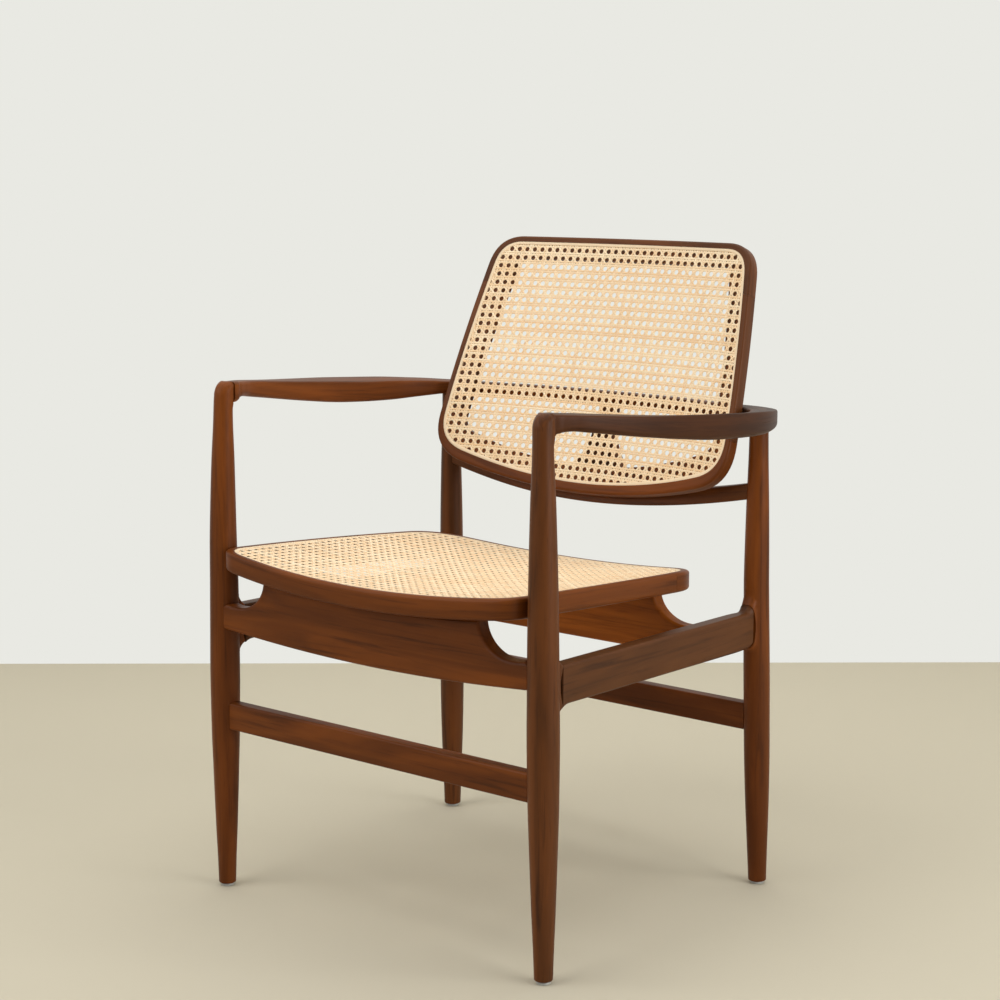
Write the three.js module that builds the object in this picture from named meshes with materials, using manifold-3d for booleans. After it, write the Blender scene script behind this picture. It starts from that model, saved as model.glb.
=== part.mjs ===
// Armchair with a caned seat and a caned back, built as separate wooden pieces that fit together.
// Millimetres. Z is up from the floor and the chair looks along minus Y.
// Left and right are as seen from the front: right is plus X.
import * as THREE from 'three';
import { mergeVertices } from 'three/addons/utils/BufferGeometryUtils.js';
import Module from 'manifold-3d';

const wasm = await Module();
wasm.setup();

// Fits that every joint uses
const clearance = 0.3;
const overrun = 6;

// Levels that the other heights follow: the seat's top at its front, and the arms at the front legs
const seatHeight = 431;
const frontLegTop = 654;

// Where the legs stand: axes at seat height, and how far the feet go out from them
const frontAxisX = 258.5;
const rearAxisX = 256.2;
const legPitch = 435;
const kneeHeight = 400;
const frontSplayX = 3.5;
const frontSplayY = -2.8;
const rearSplayX = 5.7;
const rearSplayY = 5.6;

// Legs: round, widest below the seat
const frontLegWidth = 37.8;
const frontNoseRadius = 9;
const frontNoseShare = 0.33;
const frontWidthShares = [
  [0, 0.58], [0.05, 0.635], [0.115, 0.73], [0.185, 0.815], [0.24, 0.875], [0.3, 0.94], [0.37, 0.98],
  [0.43, 1], [0.51, 0.98], [0.61, 0.95], [0.7, 0.9], [0.785, 0.83], [0.85, 0.765], [0.93, 0.65], [1, 0.63],
];
const rearLegWidth = 33.6;
const rearWidthShares = [
  [0, 0.69], [0.03, 0.72], [0.1, 0.81], [0.17, 0.895], [0.275, 0.975], [0.37, 0.99], [0.46, 1],
  [0.6, 0.97], [0.7, 0.94], [0.83, 0.85], [0.93, 0.745], [1, 0.7],
];
const glideWidth = 17;
const glideHeight = 3.5;
const glidePinWidth = 3;
const glidePinLength = 12;

// Side rails, with the ears that each leg reaches out to them
const sideRailInset = 1;
const sideRailThickness = 20;
const sideRailHeight = 46.8;
const sideRailDrop = 62.6;
const sideRailFrontTop = seatHeight - sideRailDrop;
const sideRailFall = 6.2;
const sideRailRound = 3.5;
const earReach = 5;
const earHollow = 3.5;
const earRise = 28;
const earDrop = 12;
const tenonThickness = 8;
const tenonShoulder = 8;
const tenonStop = 3.6;
const seatTenonDeepShare = 0.6;
const backTenonDeepShare = 0.58;
const apronTenonDepth = 9;

// Aprons: boards on edge whose raised middle carries the seat
const apronThickness = 20;
const frontApronRaisedHalf = 175;
const rearApronRaisedHalf = 180;
const scoopWidth = 47;
const frontApronFace = -14;
const frontApronDrop = 58;
const frontApronHeight = 41;
const frontApronEndTop = seatHeight - frontApronDrop;
const frontApronBottom = frontApronEndTop - frontApronHeight;
const frontApronEndLift = 11.8;
const rearApronFace = 318;
const rearApronDrop = 74.5;
const rearApronHeight = 38.1;
const rearApronEndTop = seatHeight - rearApronDrop;
const rearApronBottom = rearApronEndTop - rearApronHeight;

// Stretchers
const stretcherThickness = 18;
const stretcherHeight = 35;
const stretcherRound = 3;
const frontStretcherBottom = 211;
const rearStretcherBottom = 203.4;

// Seat: outline of its rim, its dished top and its frame
const seatLegGap = 1.6;
const seatRearTaper = 16.5;
const seatFrontHalf = frontAxisX - frontLegWidth / 2 - seatLegGap;
const seatRearHalf = seatFrontHalf - seatRearTaper;
const seatFront = -28.5;
const seatRear = 361;
const seatFrontBow = 13;
const seatSideBow = 8;
const seatRearBow = 26;
const seatFrontTrim = 30;
const seatRearTrim = 52;
const seatFallShare = 0.064;
const seatDish = 16.5;
const seatThickness = 25.8;
const seatEdgeRound = 4.5;
const seatSideBoard = 46;
const seatFrontBoard = 54;
const seatRearLine = 314;
const seatFrontJoint = 30;
const seatRearJoint = 300;

// Back panel: outline of its caning on a leaning, hollow surface
const backLean = 19.2;
const backFootY = 395;
const backFootDrop = 149;
const backFootZ = frontLegTop - backFootDrop;
const backHollow = 26.8;
const backLowerHalf = 235;
const backUpperHalf = 201;
const backLowerLine = 40.4;
const backUpperLine = 326.5;
const backLowerBow = 42;
const backSideBow = 5;
const backLowerTrim = 41;
const backUpperTrim = 31.5;
const backThickness = 20;
const backEdgeRound = 4;
const backBorderSide = 8.5;
const backBorderTop = 8;
const backBorderBottom = 12;
const backBoard = 24;
const backUpperJoint = 268;
const backLowerJoint = 84;

// Caning and the strip that holds it
const caneThickness = 1.8;
const caneLift = 0.8;
const seatBorder = 7;
const splineWidth = 4.2;
const splineDepth = 3.8;
const openingPitch = 50;
const openingWidth = 23;
const openingMargin = 6;

// Arms: how far they swell out, sink, thicken and tilt inwards on the way to the rear corner.
// Their underside tilts by a share of what the top does.
const armSwell = 46;
const armFall = 35.2;
const armWidth = 33;
const armDepth = 28.5;
const armRound = 4;
const armTilt = 5;
const armTiltBelow = 0.5;
const armSeam = 9;
const armEndX = 217;
const armTenonHeight = 11;
// Rows from this one on get a further ring half way to the next, for the tight bend
const armBendRow = 8;
// Each row: way back, swell, width, fall, depth and tilt, as shares of the sizes above
const armShares = [
  [0.021, 0.03, 0.76, 0.01, 0.93, 0], [0.037, 0.08, 0.79, 0.03, 0.74, 0], [0.057, 0.14, 0.82, 0.05, 0.61, 0],
  [0.138, 0.39, 0.88, 0.138, 0.71, 0.03], [0.276, 0.685, 0.96, 0.302, 0.83, 0.15],
  [0.414, 0.87, 1, 0.446, 0.947, 0.5], [0.552, 0.98, 1, 0.577, 1.042, 0.85],
  [0.69, 1, 1, 0.716, 1.02, 1.05], [0.805, 0.92, 1, 0.807, 0.97, 0.85],
  [0.885, 0.72, 1.02, 0.88, 0.85, 0.5], [0.945, 0.42, 1.03, 0.932, 0.73, 0.22],
  [0.993, 0.03, 0.98, 0.985, 0.6, 0.05], [1.018, -0.38, 0.82, 1, 0.59, 0],
  [1.027, -0.75, 0.67, 1, 0.59, 0], [1.028, -1, 0.65, 1, 0.59, 0],
];

// Back legs end a little inside the arms' undersides, which are cut to them
const rearLegBite = 1.3;
const rearLegTop = frontLegTop - armFall - armDepth * armShares.at(-1)[4] + rearLegBite;

// Rail between the arm ends, behind the back panel
const crossRailLift = 0.4;
const crossRailTop = frontLegTop - armFall + crossRailLift;
const crossRailHeight = 20;
const crossRailThickness = 20;
const crossRailBow = 20;
const crossRailRound = 3;
// Each row: way from the middle to the end, and how much of the bow is left there
const crossBowShares = [[0, 1], [0.25, 0.97], [0.5, 0.83], [0.7, 0.52], [0.85, 0.2], [0.93, 0.06], [1, 0]];

// Lower back rail, which bows up to the legs and forward to the back panel
const lowerRailHeight = 20.5;
const lowerRailDrop = 176.5;
const lowerRailMiddleBottom = frontLegTop - lowerRailDrop;
const lowerRailEndRise = 25.2;
const lowerRailThickness = 20;
const lowerRailRound = 3;
const lowerTenonDepth = 8;
const lowerTenonRiseShare = 0.85;

// Post from the lower rail to the cross rail
const postThickness = 18;
const postTopWidth = 24;
const postFlare = 60;
const postLean = 31;
const postRound = 3;
// Each row: way up from the foot, share of the flare and share of the lean
const postShares = [
  [0, 1, 0], [0.11, 0.82, 0.1], [0.2, 0.66, 0.19], [0.32, 0.45, 0.31], [0.44, 0.27, 0.43],
  [0.56, 0.14, 0.55], [0.75, 0.06, 0.73], [1, 0, 1],
];

// Dowels and screws
const dowelWidth = 8;
const dowelLength = 30;
const seatDowelX = 150;
const seatDowelSink = 16;
const screwWidth = 4.5;
const screwHeadWidth = 9;
const screwHeadHeight = 3;
const lowerScrewX = 30;
const lowerScrewLine = -6;
const lowerScrewBite = 12;
const armScrewX = 228;
const armScrewBite = 12;

// Finishes
const darkWood = new THREE.MeshStandardMaterial({ color: 0x4a2717, roughness: 0.42, metalness: 0 });
const warmWood = new THREE.MeshStandardMaterial({ color: 0x6b3618, roughness: 0.42, metalness: 0 });
const cane = new THREE.MeshStandardMaterial({ color: 0xe2bd85, roughness: 0.6, metalness: 0 });
const caneStrip = new THREE.MeshStandardMaterial({ color: 0xe8c793, roughness: 0.6, metalness: 0 });
const steel = new THREE.MeshStandardMaterial({ color: 0x9a938a, roughness: 0.35, metalness: 1 });
const paleWood = new THREE.MeshStandardMaterial({ color: 0xb98f5f, roughness: 0.7, metalness: 0 });
const clearPlastic = new THREE.MeshStandardMaterial({ color: 0xb9bcb6, roughness: 0.4, metalness: 0 });

// Counts of facets
const roundSides = 16;
const turnedSides = 12;
const cornerSteps = 3;
const edgeSteps = 7;
const turnSteps = 5;
const bowSteps = 10;
const archSteps = 6;
const innerShares = [0.02, 0.45, 0.84];

const chair = new THREE.Group();

// Closed solid from a geometry: only places are kept, and shared corners become one
function toSolid(geometry) {
  const bare = geometry.clone();
  bare.deleteAttribute('normal');
  bare.deleteAttribute('uv');
  const merged = mergeVertices(bare);
  const corners = [];
  for (let i = 0; i < merged.index.count; i += 3) {
    const [a, b, c] = [0, 1, 2].map((k) => merged.index.getX(i + k));
    if (a !== b && b !== c && c !== a) corners.push(a, b, c);
  }
  const vertProperties = Float32Array.from(merged.attributes.position.array);
  const triVerts = Uint32Array.from(corners);
  return new wasm.Manifold(new wasm.Mesh({ numProp: 3, vertProperties, triVerts }));
}

function toGeometry(solid) {
  const mesh = solid.getMesh();
  const geometry = new THREE.BufferGeometry();
  geometry.setAttribute('position', new THREE.BufferAttribute(Float32Array.from(mesh.vertProperties), 3));
  geometry.setIndex(new THREE.BufferAttribute(Uint32Array.from(mesh.triVerts), 1));
  geometry.computeVertexNormals();
  return geometry;
}

function addPiece(name, solid, material) {
  const piece = new THREE.Mesh(toGeometry(solid), material);
  piece.name = name;
  chair.add(piece);
}

// Six times the signed volume between a triangle and the origin
function signedVolume(a, b, c) {
  return a[0] * (b[1] * c[2] - b[2] * c[1]) + a[1] * (b[2] * c[0] - b[0] * c[2])
    + a[2] * (b[0] * c[1] - b[1] * c[0]);
}

// Closed solid from points and triangles that all turn the same way
function closedSolid(points, triangles) {
  const volume = triangles.reduce((sum, t) => sum + signedVolume(...t.map((i) => points[i])), 0);
  const outward = volume < 0 ? triangles.map(([a, b, c]) => [a, c, b]) : triangles;
  const geometry = new THREE.BufferGeometry();
  geometry.setAttribute('position', new THREE.Float32BufferAttribute(points.flat(), 3));
  geometry.setIndex(outward.flat());
  return toSolid(geometry);
}

// Skin through rings of points, with a fan over the first and the last ring
function loft(rings) {
  const count = rings[0].length;
  const middle = (ring) => [0, 1, 2].map((k) => ring.reduce((sum, p) => sum + p[k], 0) / count);
  const points = [...rings.flat(), middle(rings[0]), middle(rings.at(-1))];
  const firstMiddle = points.length - 2;
  const lastMiddle = points.length - 1;
  const triangles = [];
  for (let j = 0; j < count; j += 1) {
    const next = (j + 1) % count;
    const last = (rings.length - 1) * count;
    triangles.push([firstMiddle, next, j], [lastMiddle, last + j, last + next]);
    for (let i = 0; i + 1 < rings.length; i += 1) {
      const [a, b, c, d] = [i * count + j, i * count + next, (i + 1) * count + j, (i + 1) * count + next];
      triangles.push([a, b, d], [a, d, c]);
    }
  }
  return closedSolid(points, triangles);
}

function box(x0, x1, y0, y1, z0, z1) {
  const geometry = new THREE.BoxGeometry(Math.abs(x1 - x0), Math.abs(y1 - y0), Math.abs(z1 - z0));
  geometry.translate((x0 + x1) / 2, (y0 + y1) / 2, (z0 + z1) / 2);
  return toSolid(geometry);
}

// Round bar of a width between two points
function bar(from, to, width) {
  const start = new THREE.Vector3(...from);
  const way = new THREE.Vector3(...to).sub(start);
  const geometry = new THREE.CylinderGeometry(width / 2, width / 2, way.length(), turnedSides);
  geometry.translate(0, way.length() / 2, 0);
  const turn = new THREE.Quaternion().setFromUnitVectors(THREE.Object3D.DEFAULT_UP, way.normalize());
  geometry.applyQuaternion(turn);
  geometry.translate(...start.toArray());
  return toSolid(geometry);
}

// Rectangle with rounded corners round the origin, as places across and up
function roundedSection(width, height, round) {
  const points = [];
  for (const [sx, sy, start] of [[1, 1, 0], [-1, 1, 1], [-1, -1, 2], [1, -1, 3]]) {
    for (let i = 0; i < cornerSteps; i += 1) {
      const angle = ((start + i / (cornerSteps - 1)) * Math.PI) / 2;
      points.push([
        sx * (width / 2 - round) + round * Math.cos(angle),
        sy * (height / 2 - round) + round * Math.sin(angle),
      ]);
    }
  }
  return points;
}

// Value at a place in rows that start with a place, on a smooth curve through the rows
function smoothAt(rows, place, column) {
  const i = Math.min(Math.max(rows.findIndex((row) => row[0] >= place), 1), rows.length - 1);
  const [a, b] = [rows[i - 1], rows[i]];
  const before = rows[i - 2] ?? a;
  const after = rows[i + 1] ?? b;
  const t = (place - a[0]) / (b[0] - a[0]);
  const slopeA = (b[column] - before[column]) / (b[0] - before[0]);
  const slopeB = (after[column] - a[column]) / (after[0] - a[0]);
  const span = b[0] - a[0];
  return a[column] * (2 * t ** 3 - 3 * t ** 2 + 1) + b[column] * (3 * t ** 2 - 2 * t ** 3)
    + span * slopeA * (t ** 3 - 2 * t ** 2 + t) + span * slopeB * (t ** 3 - t ** 2);
}

// Point on a curve that leaves one point towards a second and arrives at a third
const curvePoint = (from, toward, to, t) => [0, 1].map(
  (k) => from[k] * (1 - t) ** 2 + 2 * toward[k] * t * (1 - t) + to[k] * t ** 2,
);

// Closed outline in a plane: each edge bows out, and a curve joins neighbours over each corner
function outline(corners, bows, trims) {
  const edges = corners.map((from, i) => {
    const to = corners[(i + 1) % corners.length];
    const length = Math.hypot(to[0] - from[0], to[1] - from[1]);
    const out = [(to[1] - from[1]) / length, (from[0] - to[0]) / length];
    const control = [0, 1].map((k) => (from[k] + to[k]) / 2 + 2 * bows[i] * out[k]);
    const start = trims[i] / length;
    const end = 1 - trims[(i + 1) % corners.length] / length;
    const at = (t) => curvePoint(from, control, to, t);
    const way = (t) => [0, 1].map((k) => (1 - t) * (control[k] - from[k]) + t * (to[k] - control[k]));
    return { start, end, at, way };
  });
  return edges.flatMap((edge, i) => {
    const next = edges[(i + 1) % edges.length];
    const points = [];
    for (let k = 0; k < edgeSteps; k += 1) {
      points.push(edge.at(edge.start + ((edge.end - edge.start) * k) / edgeSteps));
    }
    const from = edge.at(edge.end);
    const to = next.at(next.start);
    const a = edge.way(edge.end);
    const b = next.way(next.start);
    const reach = ((to[0] - from[0]) * b[1] - (to[1] - from[1]) * b[0]) / (a[0] * b[1] - a[1] * b[0]);
    const peak = [from[0] + a[0] * reach, from[1] + a[1] * reach];
    for (let k = 0; k < turnSteps; k += 1) points.push(curvePoint(from, peak, to, k / turnSteps));
    return points;
  });
}

// Plate between two depths under a curved surface: edgeRound softens its rim
function plate(outlineAt, surface, top, bottom, edgeRound = 0) {
  const flat = outlineAt(0);
  const middle = [0, 1].map((k) => flat.reduce((sum, p) => sum + p[k], 0) / flat.length);
  const inside = (share) => outlineAt(-edgeRound)
    .map((p) => [0, 1].map((k) => middle[k] + (p[k] - middle[k]) * share));
  const rings = innerShares.map((share) => inside(share).map((p) => surface(p, bottom)));
  const turns = edgeRound > 0 ? [0, 0.5, 1] : [1];
  turns.forEach((turn) => {
    const angle = (turn * Math.PI) / 2;
    const ring = outlineAt(-edgeRound * (1 - Math.sin(angle)));
    rings.push(ring.map((p) => surface(p, bottom - edgeRound * (1 - Math.cos(angle)))));
  });
  [...turns].reverse().forEach((turn) => {
    const angle = (turn * Math.PI) / 2;
    const ring = outlineAt(-edgeRound * (1 - Math.sin(angle)));
    rings.push(ring.map((p) => surface(p, top + edgeRound * (1 - Math.cos(angle)))));
  });
  [...innerShares].reverse().forEach((share) => rings.push(inside(share).map((p) => surface(p, top))));
  return loft(rings);
}

// Places of the leg axes at a height
const frontAxis = (side, z) => {
  const out = Math.max(0, 1 - z / kneeHeight);
  return [side * (frontAxisX + frontSplayX * out), frontSplayY * out];
};
const rearAxis = (side, z) => {
  const out = Math.max(0, 1 - z / kneeHeight);
  return [side * (rearAxisX + rearSplayX * out), legPitch + rearSplayY * out];
};

function roundLeg(axisAt, top, width, shares, grow) {
  const foot = glideHeight + clearance - grow;
  return loft(shares.map(([place, share]) => {
    const z = foot + (top + grow - foot) * place;
    const [x, y] = axisAt(z);
    const radius = (width * share) / 2 + grow;
    return Array.from({ length: roundSides }, (_, i) => {
      const angle = (2 * Math.PI * (i + 0.5)) / roundSides;
      return [x + radius * Math.cos(angle), y + radius * Math.sin(angle), z];
    });
  }));
}

const sideRailTop = (y) => sideRailFrontTop - (sideRailFall * y) / legPitch;
const sideRailX = (y) => frontAxisX - sideRailInset + ((rearAxisX - frontAxisX) * y) / legPitch;

// Ear of a leg: it reaches towards the side rail, and its end is hollow like a saddle
function ear(side, atRear, width, grow) {
  const toward = atRear ? -1 : 1;
  const axisY = atRear ? legPitch : 0;
  const radius = (atRear ? rearLegWidth : frontLegWidth) / 2;
  const top = sideRailTop(axisY);
  const bottom = top - sideRailHeight;
  const face = radius + earReach + grow;
  const points = [[0, top + earRise], [radius - earHollow, top + earRise]];
  for (let i = 1; i <= archSteps; i += 1) {
    const angle = ((i / archSteps) * Math.PI) / 2;
    points.push([
      radius - earHollow + (earReach + earHollow + grow) * (1 - Math.cos(angle)),
      top + earRise * (1 - Math.sin(angle)),
    ]);
  }
  for (let i = 1; i < archSteps; i += 1) {
    const t = i / archSteps;
    points.push([face - earHollow * 4 * t * (1 - t), top - sideRailHeight * t]);
  }
  for (let i = archSteps; i >= 1; i -= 1) {
    const angle = ((i / archSteps) * Math.PI) / 2;
    points.push([
      radius - earHollow + (earReach + earHollow + grow) * (1 - Math.cos(angle)),
      bottom - earDrop * (1 - Math.sin(angle)),
    ]);
  }
  points.push([radius - earHollow, bottom - earDrop], [0, bottom - earDrop]);
  const shape = new THREE.Shape(points.map(([y, z]) => new THREE.Vector2(y * toward, z)));
  const geometry = new THREE.ExtrudeGeometry(shape, { depth: width, bevelEnabled: false });
  geometry.translate(0, 0, -width / 2);
  geometry.applyMatrix4(new THREE.Matrix4().makeBasis(
    new THREE.Vector3(0, 1, 0),
    new THREE.Vector3(0, 0, 1),
    new THREE.Vector3(1, 0, 0),
  ));
  geometry.translate(side * sideRailX(axisY), axisY, 0);
  return toSolid(geometry);
}

const frontLegBody = (side, grow) => roundLeg(
  (z) => frontAxis(side, z), frontLegTop, frontLegWidth, frontWidthShares, grow,
);
const rearLegBody = (side, grow) => roundLeg(
  (z) => rearAxis(side, z), rearLegTop, rearLegWidth, rearWidthShares, grow,
);

// Rounded nose of the front leg at the arm, as a side view to cut the leg with
function noseProfile(side) {
  const front = frontLegWidth * frontNoseShare;
  const points = [[legPitch / 4, 0], [-legPitch / 4, 0], [-legPitch / 4, frontLegTop - 2 * armDepth]];
  for (let i = 0; i <= archSteps; i += 1) {
    const angle = ((i / archSteps) * Math.PI) / 2;
    points.push([
      -front + frontNoseRadius * (1 - Math.cos(angle)),
      frontLegTop - frontNoseRadius * (1 - Math.sin(angle)),
    ]);
  }
  points.push([legPitch / 4, frontLegTop]);
  const shape = new THREE.Shape(points.map(([y, z]) => new THREE.Vector2(y, z)));
  const width = 2 * frontLegWidth;
  const geometry = new THREE.ExtrudeGeometry(shape, { depth: width, bevelEnabled: false });
  geometry.applyMatrix4(new THREE.Matrix4().makeBasis(
    new THREE.Vector3(0, 1, 0),
    new THREE.Vector3(0, 0, 1),
    new THREE.Vector3(1, 0, 0),
  ));
  geometry.translate(side * frontAxisX - width / 2, 0, 0);
  return toSolid(geometry);
}

// Loft along X or Y through rounded sections: each row gives the place, middle, width, bottom and top
function lengthwiseRail(rows, round, alongX) {
  return loft(rows.map(([place, middle, width, bottom, top]) => roundedSection(width, top - bottom, round)
    .map(([u, v]) => {
      const z = (bottom + top) / 2 + v;
      return alongX ? [place, middle + u, z] : [middle + u, place, z];
    })));
}

function sideRailBody(side) {
  const rows = [0, 0.5, 1].map((share) => {
    const y = legPitch * share;
    const top = sideRailTop(y);
    return [y, side * sideRailX(y), sideRailThickness, top - sideRailHeight, top];
  });
  return lengthwiseRail(rows, sideRailRound, false);
}

// Tenon of a side rail: from inside the rail to near the middle of the leg
function sideTenon(side, atRear, grow) {
  const axisY = atRear ? legPitch : 0;
  const toward = atRear ? -1 : 1;
  const top = sideRailTop(axisY) - tenonShoulder;
  const bottom = sideRailTop(axisY) - sideRailHeight + tenonShoulder;
  const x = side * sideRailX(axisY);
  const half = tenonThickness / 2 + grow;
  const inner = axisY + toward * (tenonStop - grow);
  const outer = axisY + toward * (frontLegWidth / 2 + 3 * earReach);
  return box(x - half, x + half, inner, outer, bottom - grow, top + grow);
}

// Seat surfaces
const seatTop = (x, y) => seatHeight - seatFallShare * y + seatDish * (x / seatFrontHalf) ** 2;
const seatSurface = ([x, y], depth) => [x, y, seatTop(x, y) - depth];
const seatOutline = (grow) => outline(
  [
    [-seatFrontHalf - grow, seatFront - grow], [seatFrontHalf + grow, seatFront - grow],
    [seatRearHalf + grow, seatRear + grow], [-seatRearHalf - grow, seatRear + grow],
  ],
  [seatFrontBow, seatSideBow, seatRearBow, seatSideBow],
  [seatFrontTrim, seatFrontTrim, seatRearTrim, seatRearTrim],
);
const seatInner = (grow) => outline(
  [
    [-seatFrontHalf + seatSideBoard - grow, seatFront - seatFrontBow + seatFrontBoard - grow],
    [seatFrontHalf - seatSideBoard + grow, seatFront - seatFrontBow + seatFrontBoard - grow],
    [seatRearHalf - seatSideBoard + grow, seatRearLine + grow],
    [-seatRearHalf + seatSideBoard - grow, seatRearLine + grow],
  ],
  [0, seatSideBow, 0, seatSideBow],
  [seatFrontTrim, seatFrontTrim, seatFrontTrim, seatFrontTrim],
);
const seatBody = (grow) => plate(
  (g) => seatOutline(g + grow), seatSurface, -grow, seatThickness + grow, seatEdgeRound,
);

// Back panel: across, up along the lean, and behind the front face
const lean = THREE.MathUtils.degToRad(backLean);
const backPoint = (s, t, n) => [
  s,
  backFootY + t * Math.sin(lean) - backHollow * (s / backLowerHalf) ** 2 + n * Math.cos(lean),
  backFootZ + t * Math.cos(lean) - n * Math.sin(lean),
];
const backSurface = ([s, t], depth) => backPoint(s, t, depth);
const backOutline = (side, top, bottom, trim) => outline(
  [
    [-backLowerHalf - side, backLowerLine - bottom], [backLowerHalf + side, backLowerLine - bottom],
    [backUpperHalf + side, backUpperLine + top], [-backUpperHalf - side, backUpperLine + top],
  ],
  [backLowerBow, backSideBow, 0, backSideBow],
  [backLowerTrim + trim, backLowerTrim + trim, backUpperTrim + trim, backUpperTrim + trim],
);
const caneOutline = (grow) => backOutline(grow, grow, grow, grow);
const backRim = (grow) => backOutline(
  backBorderSide + grow, backBorderTop + grow, backBorderBottom + grow, backBorderSide + grow,
);
const backBody = (grow) => plate(
  (g) => backRim(g + grow), backSurface, -grow, backThickness + grow, backEdgeRound,
);

// Whether a closed ring of points holds a point
function holds(ring, [x, y]) {
  const crossings = ring.filter(([ax, ay], i) => {
    const [bx, by] = ring[(i + 1) % ring.length];
    return (ay > y) !== (by > y) && x < ax + ((bx - ax) * (y - ay)) / (by - ay);
  });
  return crossings.length % 2 === 1;
}

// Lines of a grid in one direction: both sides of each opening, and an end beyond the first and the last
function gridLines(places) {
  const low = Math.min(...places);
  const high = Math.max(...places);
  const count = Math.ceil((high - low) / openingPitch);
  const first = (low + high - (count - 1) * openingPitch) / 2;
  const lines = Array.from({ length: count }, (_, k) => first + k * openingPitch)
    .flatMap((middle) => [middle - openingWidth / 2, middle + openingWidth / 2]);
  return [low - openingPitch, ...lines, high + openingPitch];
}

// Caning as a sheet between two depths, with a plain grid of openings that stands for the weave
function openSheet(edge, surface, top, bottom) {
  const rim = edge(0);
  const reach = edge(-openingMargin);
  const [across, along] = [0, 1].map((k) => gridLines(rim.map((p) => p[k])));
  const isOpen = (i, j) => i % 2 === 1 && j % 2 === 1 && [i, i + 1].every(
    (a) => [j, j + 1].every((b) => holds(reach, [across[a], along[b]])),
  );
  const isInside = (i, j) => i >= 0 && j >= 0 && i + 1 < across.length && j + 1 < along.length;
  const isSolid = (i, j) => isInside(i, j) && !isOpen(i, j);
  const points = across.flatMap((x) => along.flatMap((y) => [surface([x, y], top), surface([x, y], bottom)]));
  const triangles = [];
  const quad = (a, b, c, d) => triangles.push([a, b, c], [a, c, d]);
  for (let i = 0; i + 1 < across.length; i += 1) {
    for (let j = 0; j + 1 < along.length; j += 1) {
      if (!isSolid(i, j)) continue;
      const corners = [[i, j], [i + 1, j], [i + 1, j + 1], [i, j + 1]]
        .map(([a, b]) => 2 * (a * along.length + b));
      quad(...corners);
      quad(...corners.map((corner) => corner + 1).reverse());
      [[i, j - 1], [i + 1, j], [i, j + 1], [i - 1, j]].forEach((neighbour, side) => {
        const [a, b] = [corners[side], corners[(side + 1) % corners.length]];
        if (!isSolid(...neighbour)) quad(b, a, a + 1, b + 1);
      });
    }
  }
  return closedSolid(points, triangles).intersect(plate(edge, surface, top - overrun, bottom + overrun));
}

// Frame, caning and strip of one panel
function canedPanel(body, surface, caneEdge, opening, thickness) {
  const stripOuter = (grow) => caneEdge(grow - clearance);
  const stripInner = (grow) => caneEdge(-clearance - splineWidth - grow);
  const sheetEdge = (grow) => caneEdge(grow - splineWidth - 2 * clearance - clearance);
  const deep = clearance + caneThickness;
  const strip = plate(stripOuter, surface, clearance, splineDepth)
    .subtract(plate(stripInner, surface, -overrun, splineDepth + overrun));
  const sheet = openSheet(sheetEdge, surface, clearance, deep);
  const groove = plate((g) => stripOuter(g + clearance), surface, -overrun, splineDepth + clearance)
    .subtract(plate((g) => stripInner(clearance - g), surface, -2 * overrun, splineDepth + 2 * overrun));
  const ledgeEdge = (grow) => sheetEdge(grow + 2 * clearance + splineWidth / 2);
  const ledge = plate(ledgeEdge, surface, -overrun, deep + caneLift);
  const frame = body
    .subtract(plate(opening, surface, -overrun, thickness + overrun))
    .subtract(groove)
    .subtract(ledge);
  return { frame, strip, sheet };
}

const seat = canedPanel(
  seatBody(0), seatSurface, (grow) => seatOutline(grow - seatBorder), seatInner, seatThickness,
);
const backOpening = (grow) => caneOutline(grow - backBoard);
const back = canedPanel(backBody(0), backSurface, caneOutline, backOpening, backThickness);

// Seat frame: front and rear boards across, side boards tenoned between them
const seatReach = 2 * seatFrontHalf;
const seatSlice = (x0, x1, y0, y1) => box(x0, x1, y0, y1, seatHeight - seatReach, seatHeight + seatReach);
function seatTenon(side, joint, grow) {
  const share = (joint - seatFront) / (seatRear - seatFront);
  const half = seatFrontHalf + (seatRearHalf - seatFrontHalf) * share;
  const x = side * (half - seatSideBoard / 2);
  const width = seatSideBoard / 4 + grow;
  const z = seatTop(x, joint) - seatThickness * seatTenonDeepShare;
  const high = tenonThickness / 2 + grow;
  const long = seatSideBoard / 4 + grow;
  return box(x - width, x + width, joint - long, joint + long, z - high, z + high);
}
const bothSides = [1, -1];
const seatFrontPiece = bothSides.reduce(
  (solid, side) => solid.subtract(seatTenon(side, seatFrontJoint, clearance)),
  seat.frame.intersect(seatSlice(-seatReach, seatReach, -seatReach, seatFrontJoint - clearance / 2)),
);
const seatRearPiece = bothSides.reduce(
  (solid, side) => solid.subtract(seatTenon(side, seatRearJoint, clearance)),
  seat.frame.intersect(seatSlice(-seatReach, seatReach, seatRearJoint + clearance / 2, seatReach)),
);
const seatSidePiece = (side) => seat.frame
  .intersect(seatSlice(0, side * seatReach, seatFrontJoint + clearance / 2, seatRearJoint - clearance / 2))
  .add(seatTenon(side, seatFrontJoint, 0))
  .add(seatTenon(side, seatRearJoint, 0));

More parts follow.
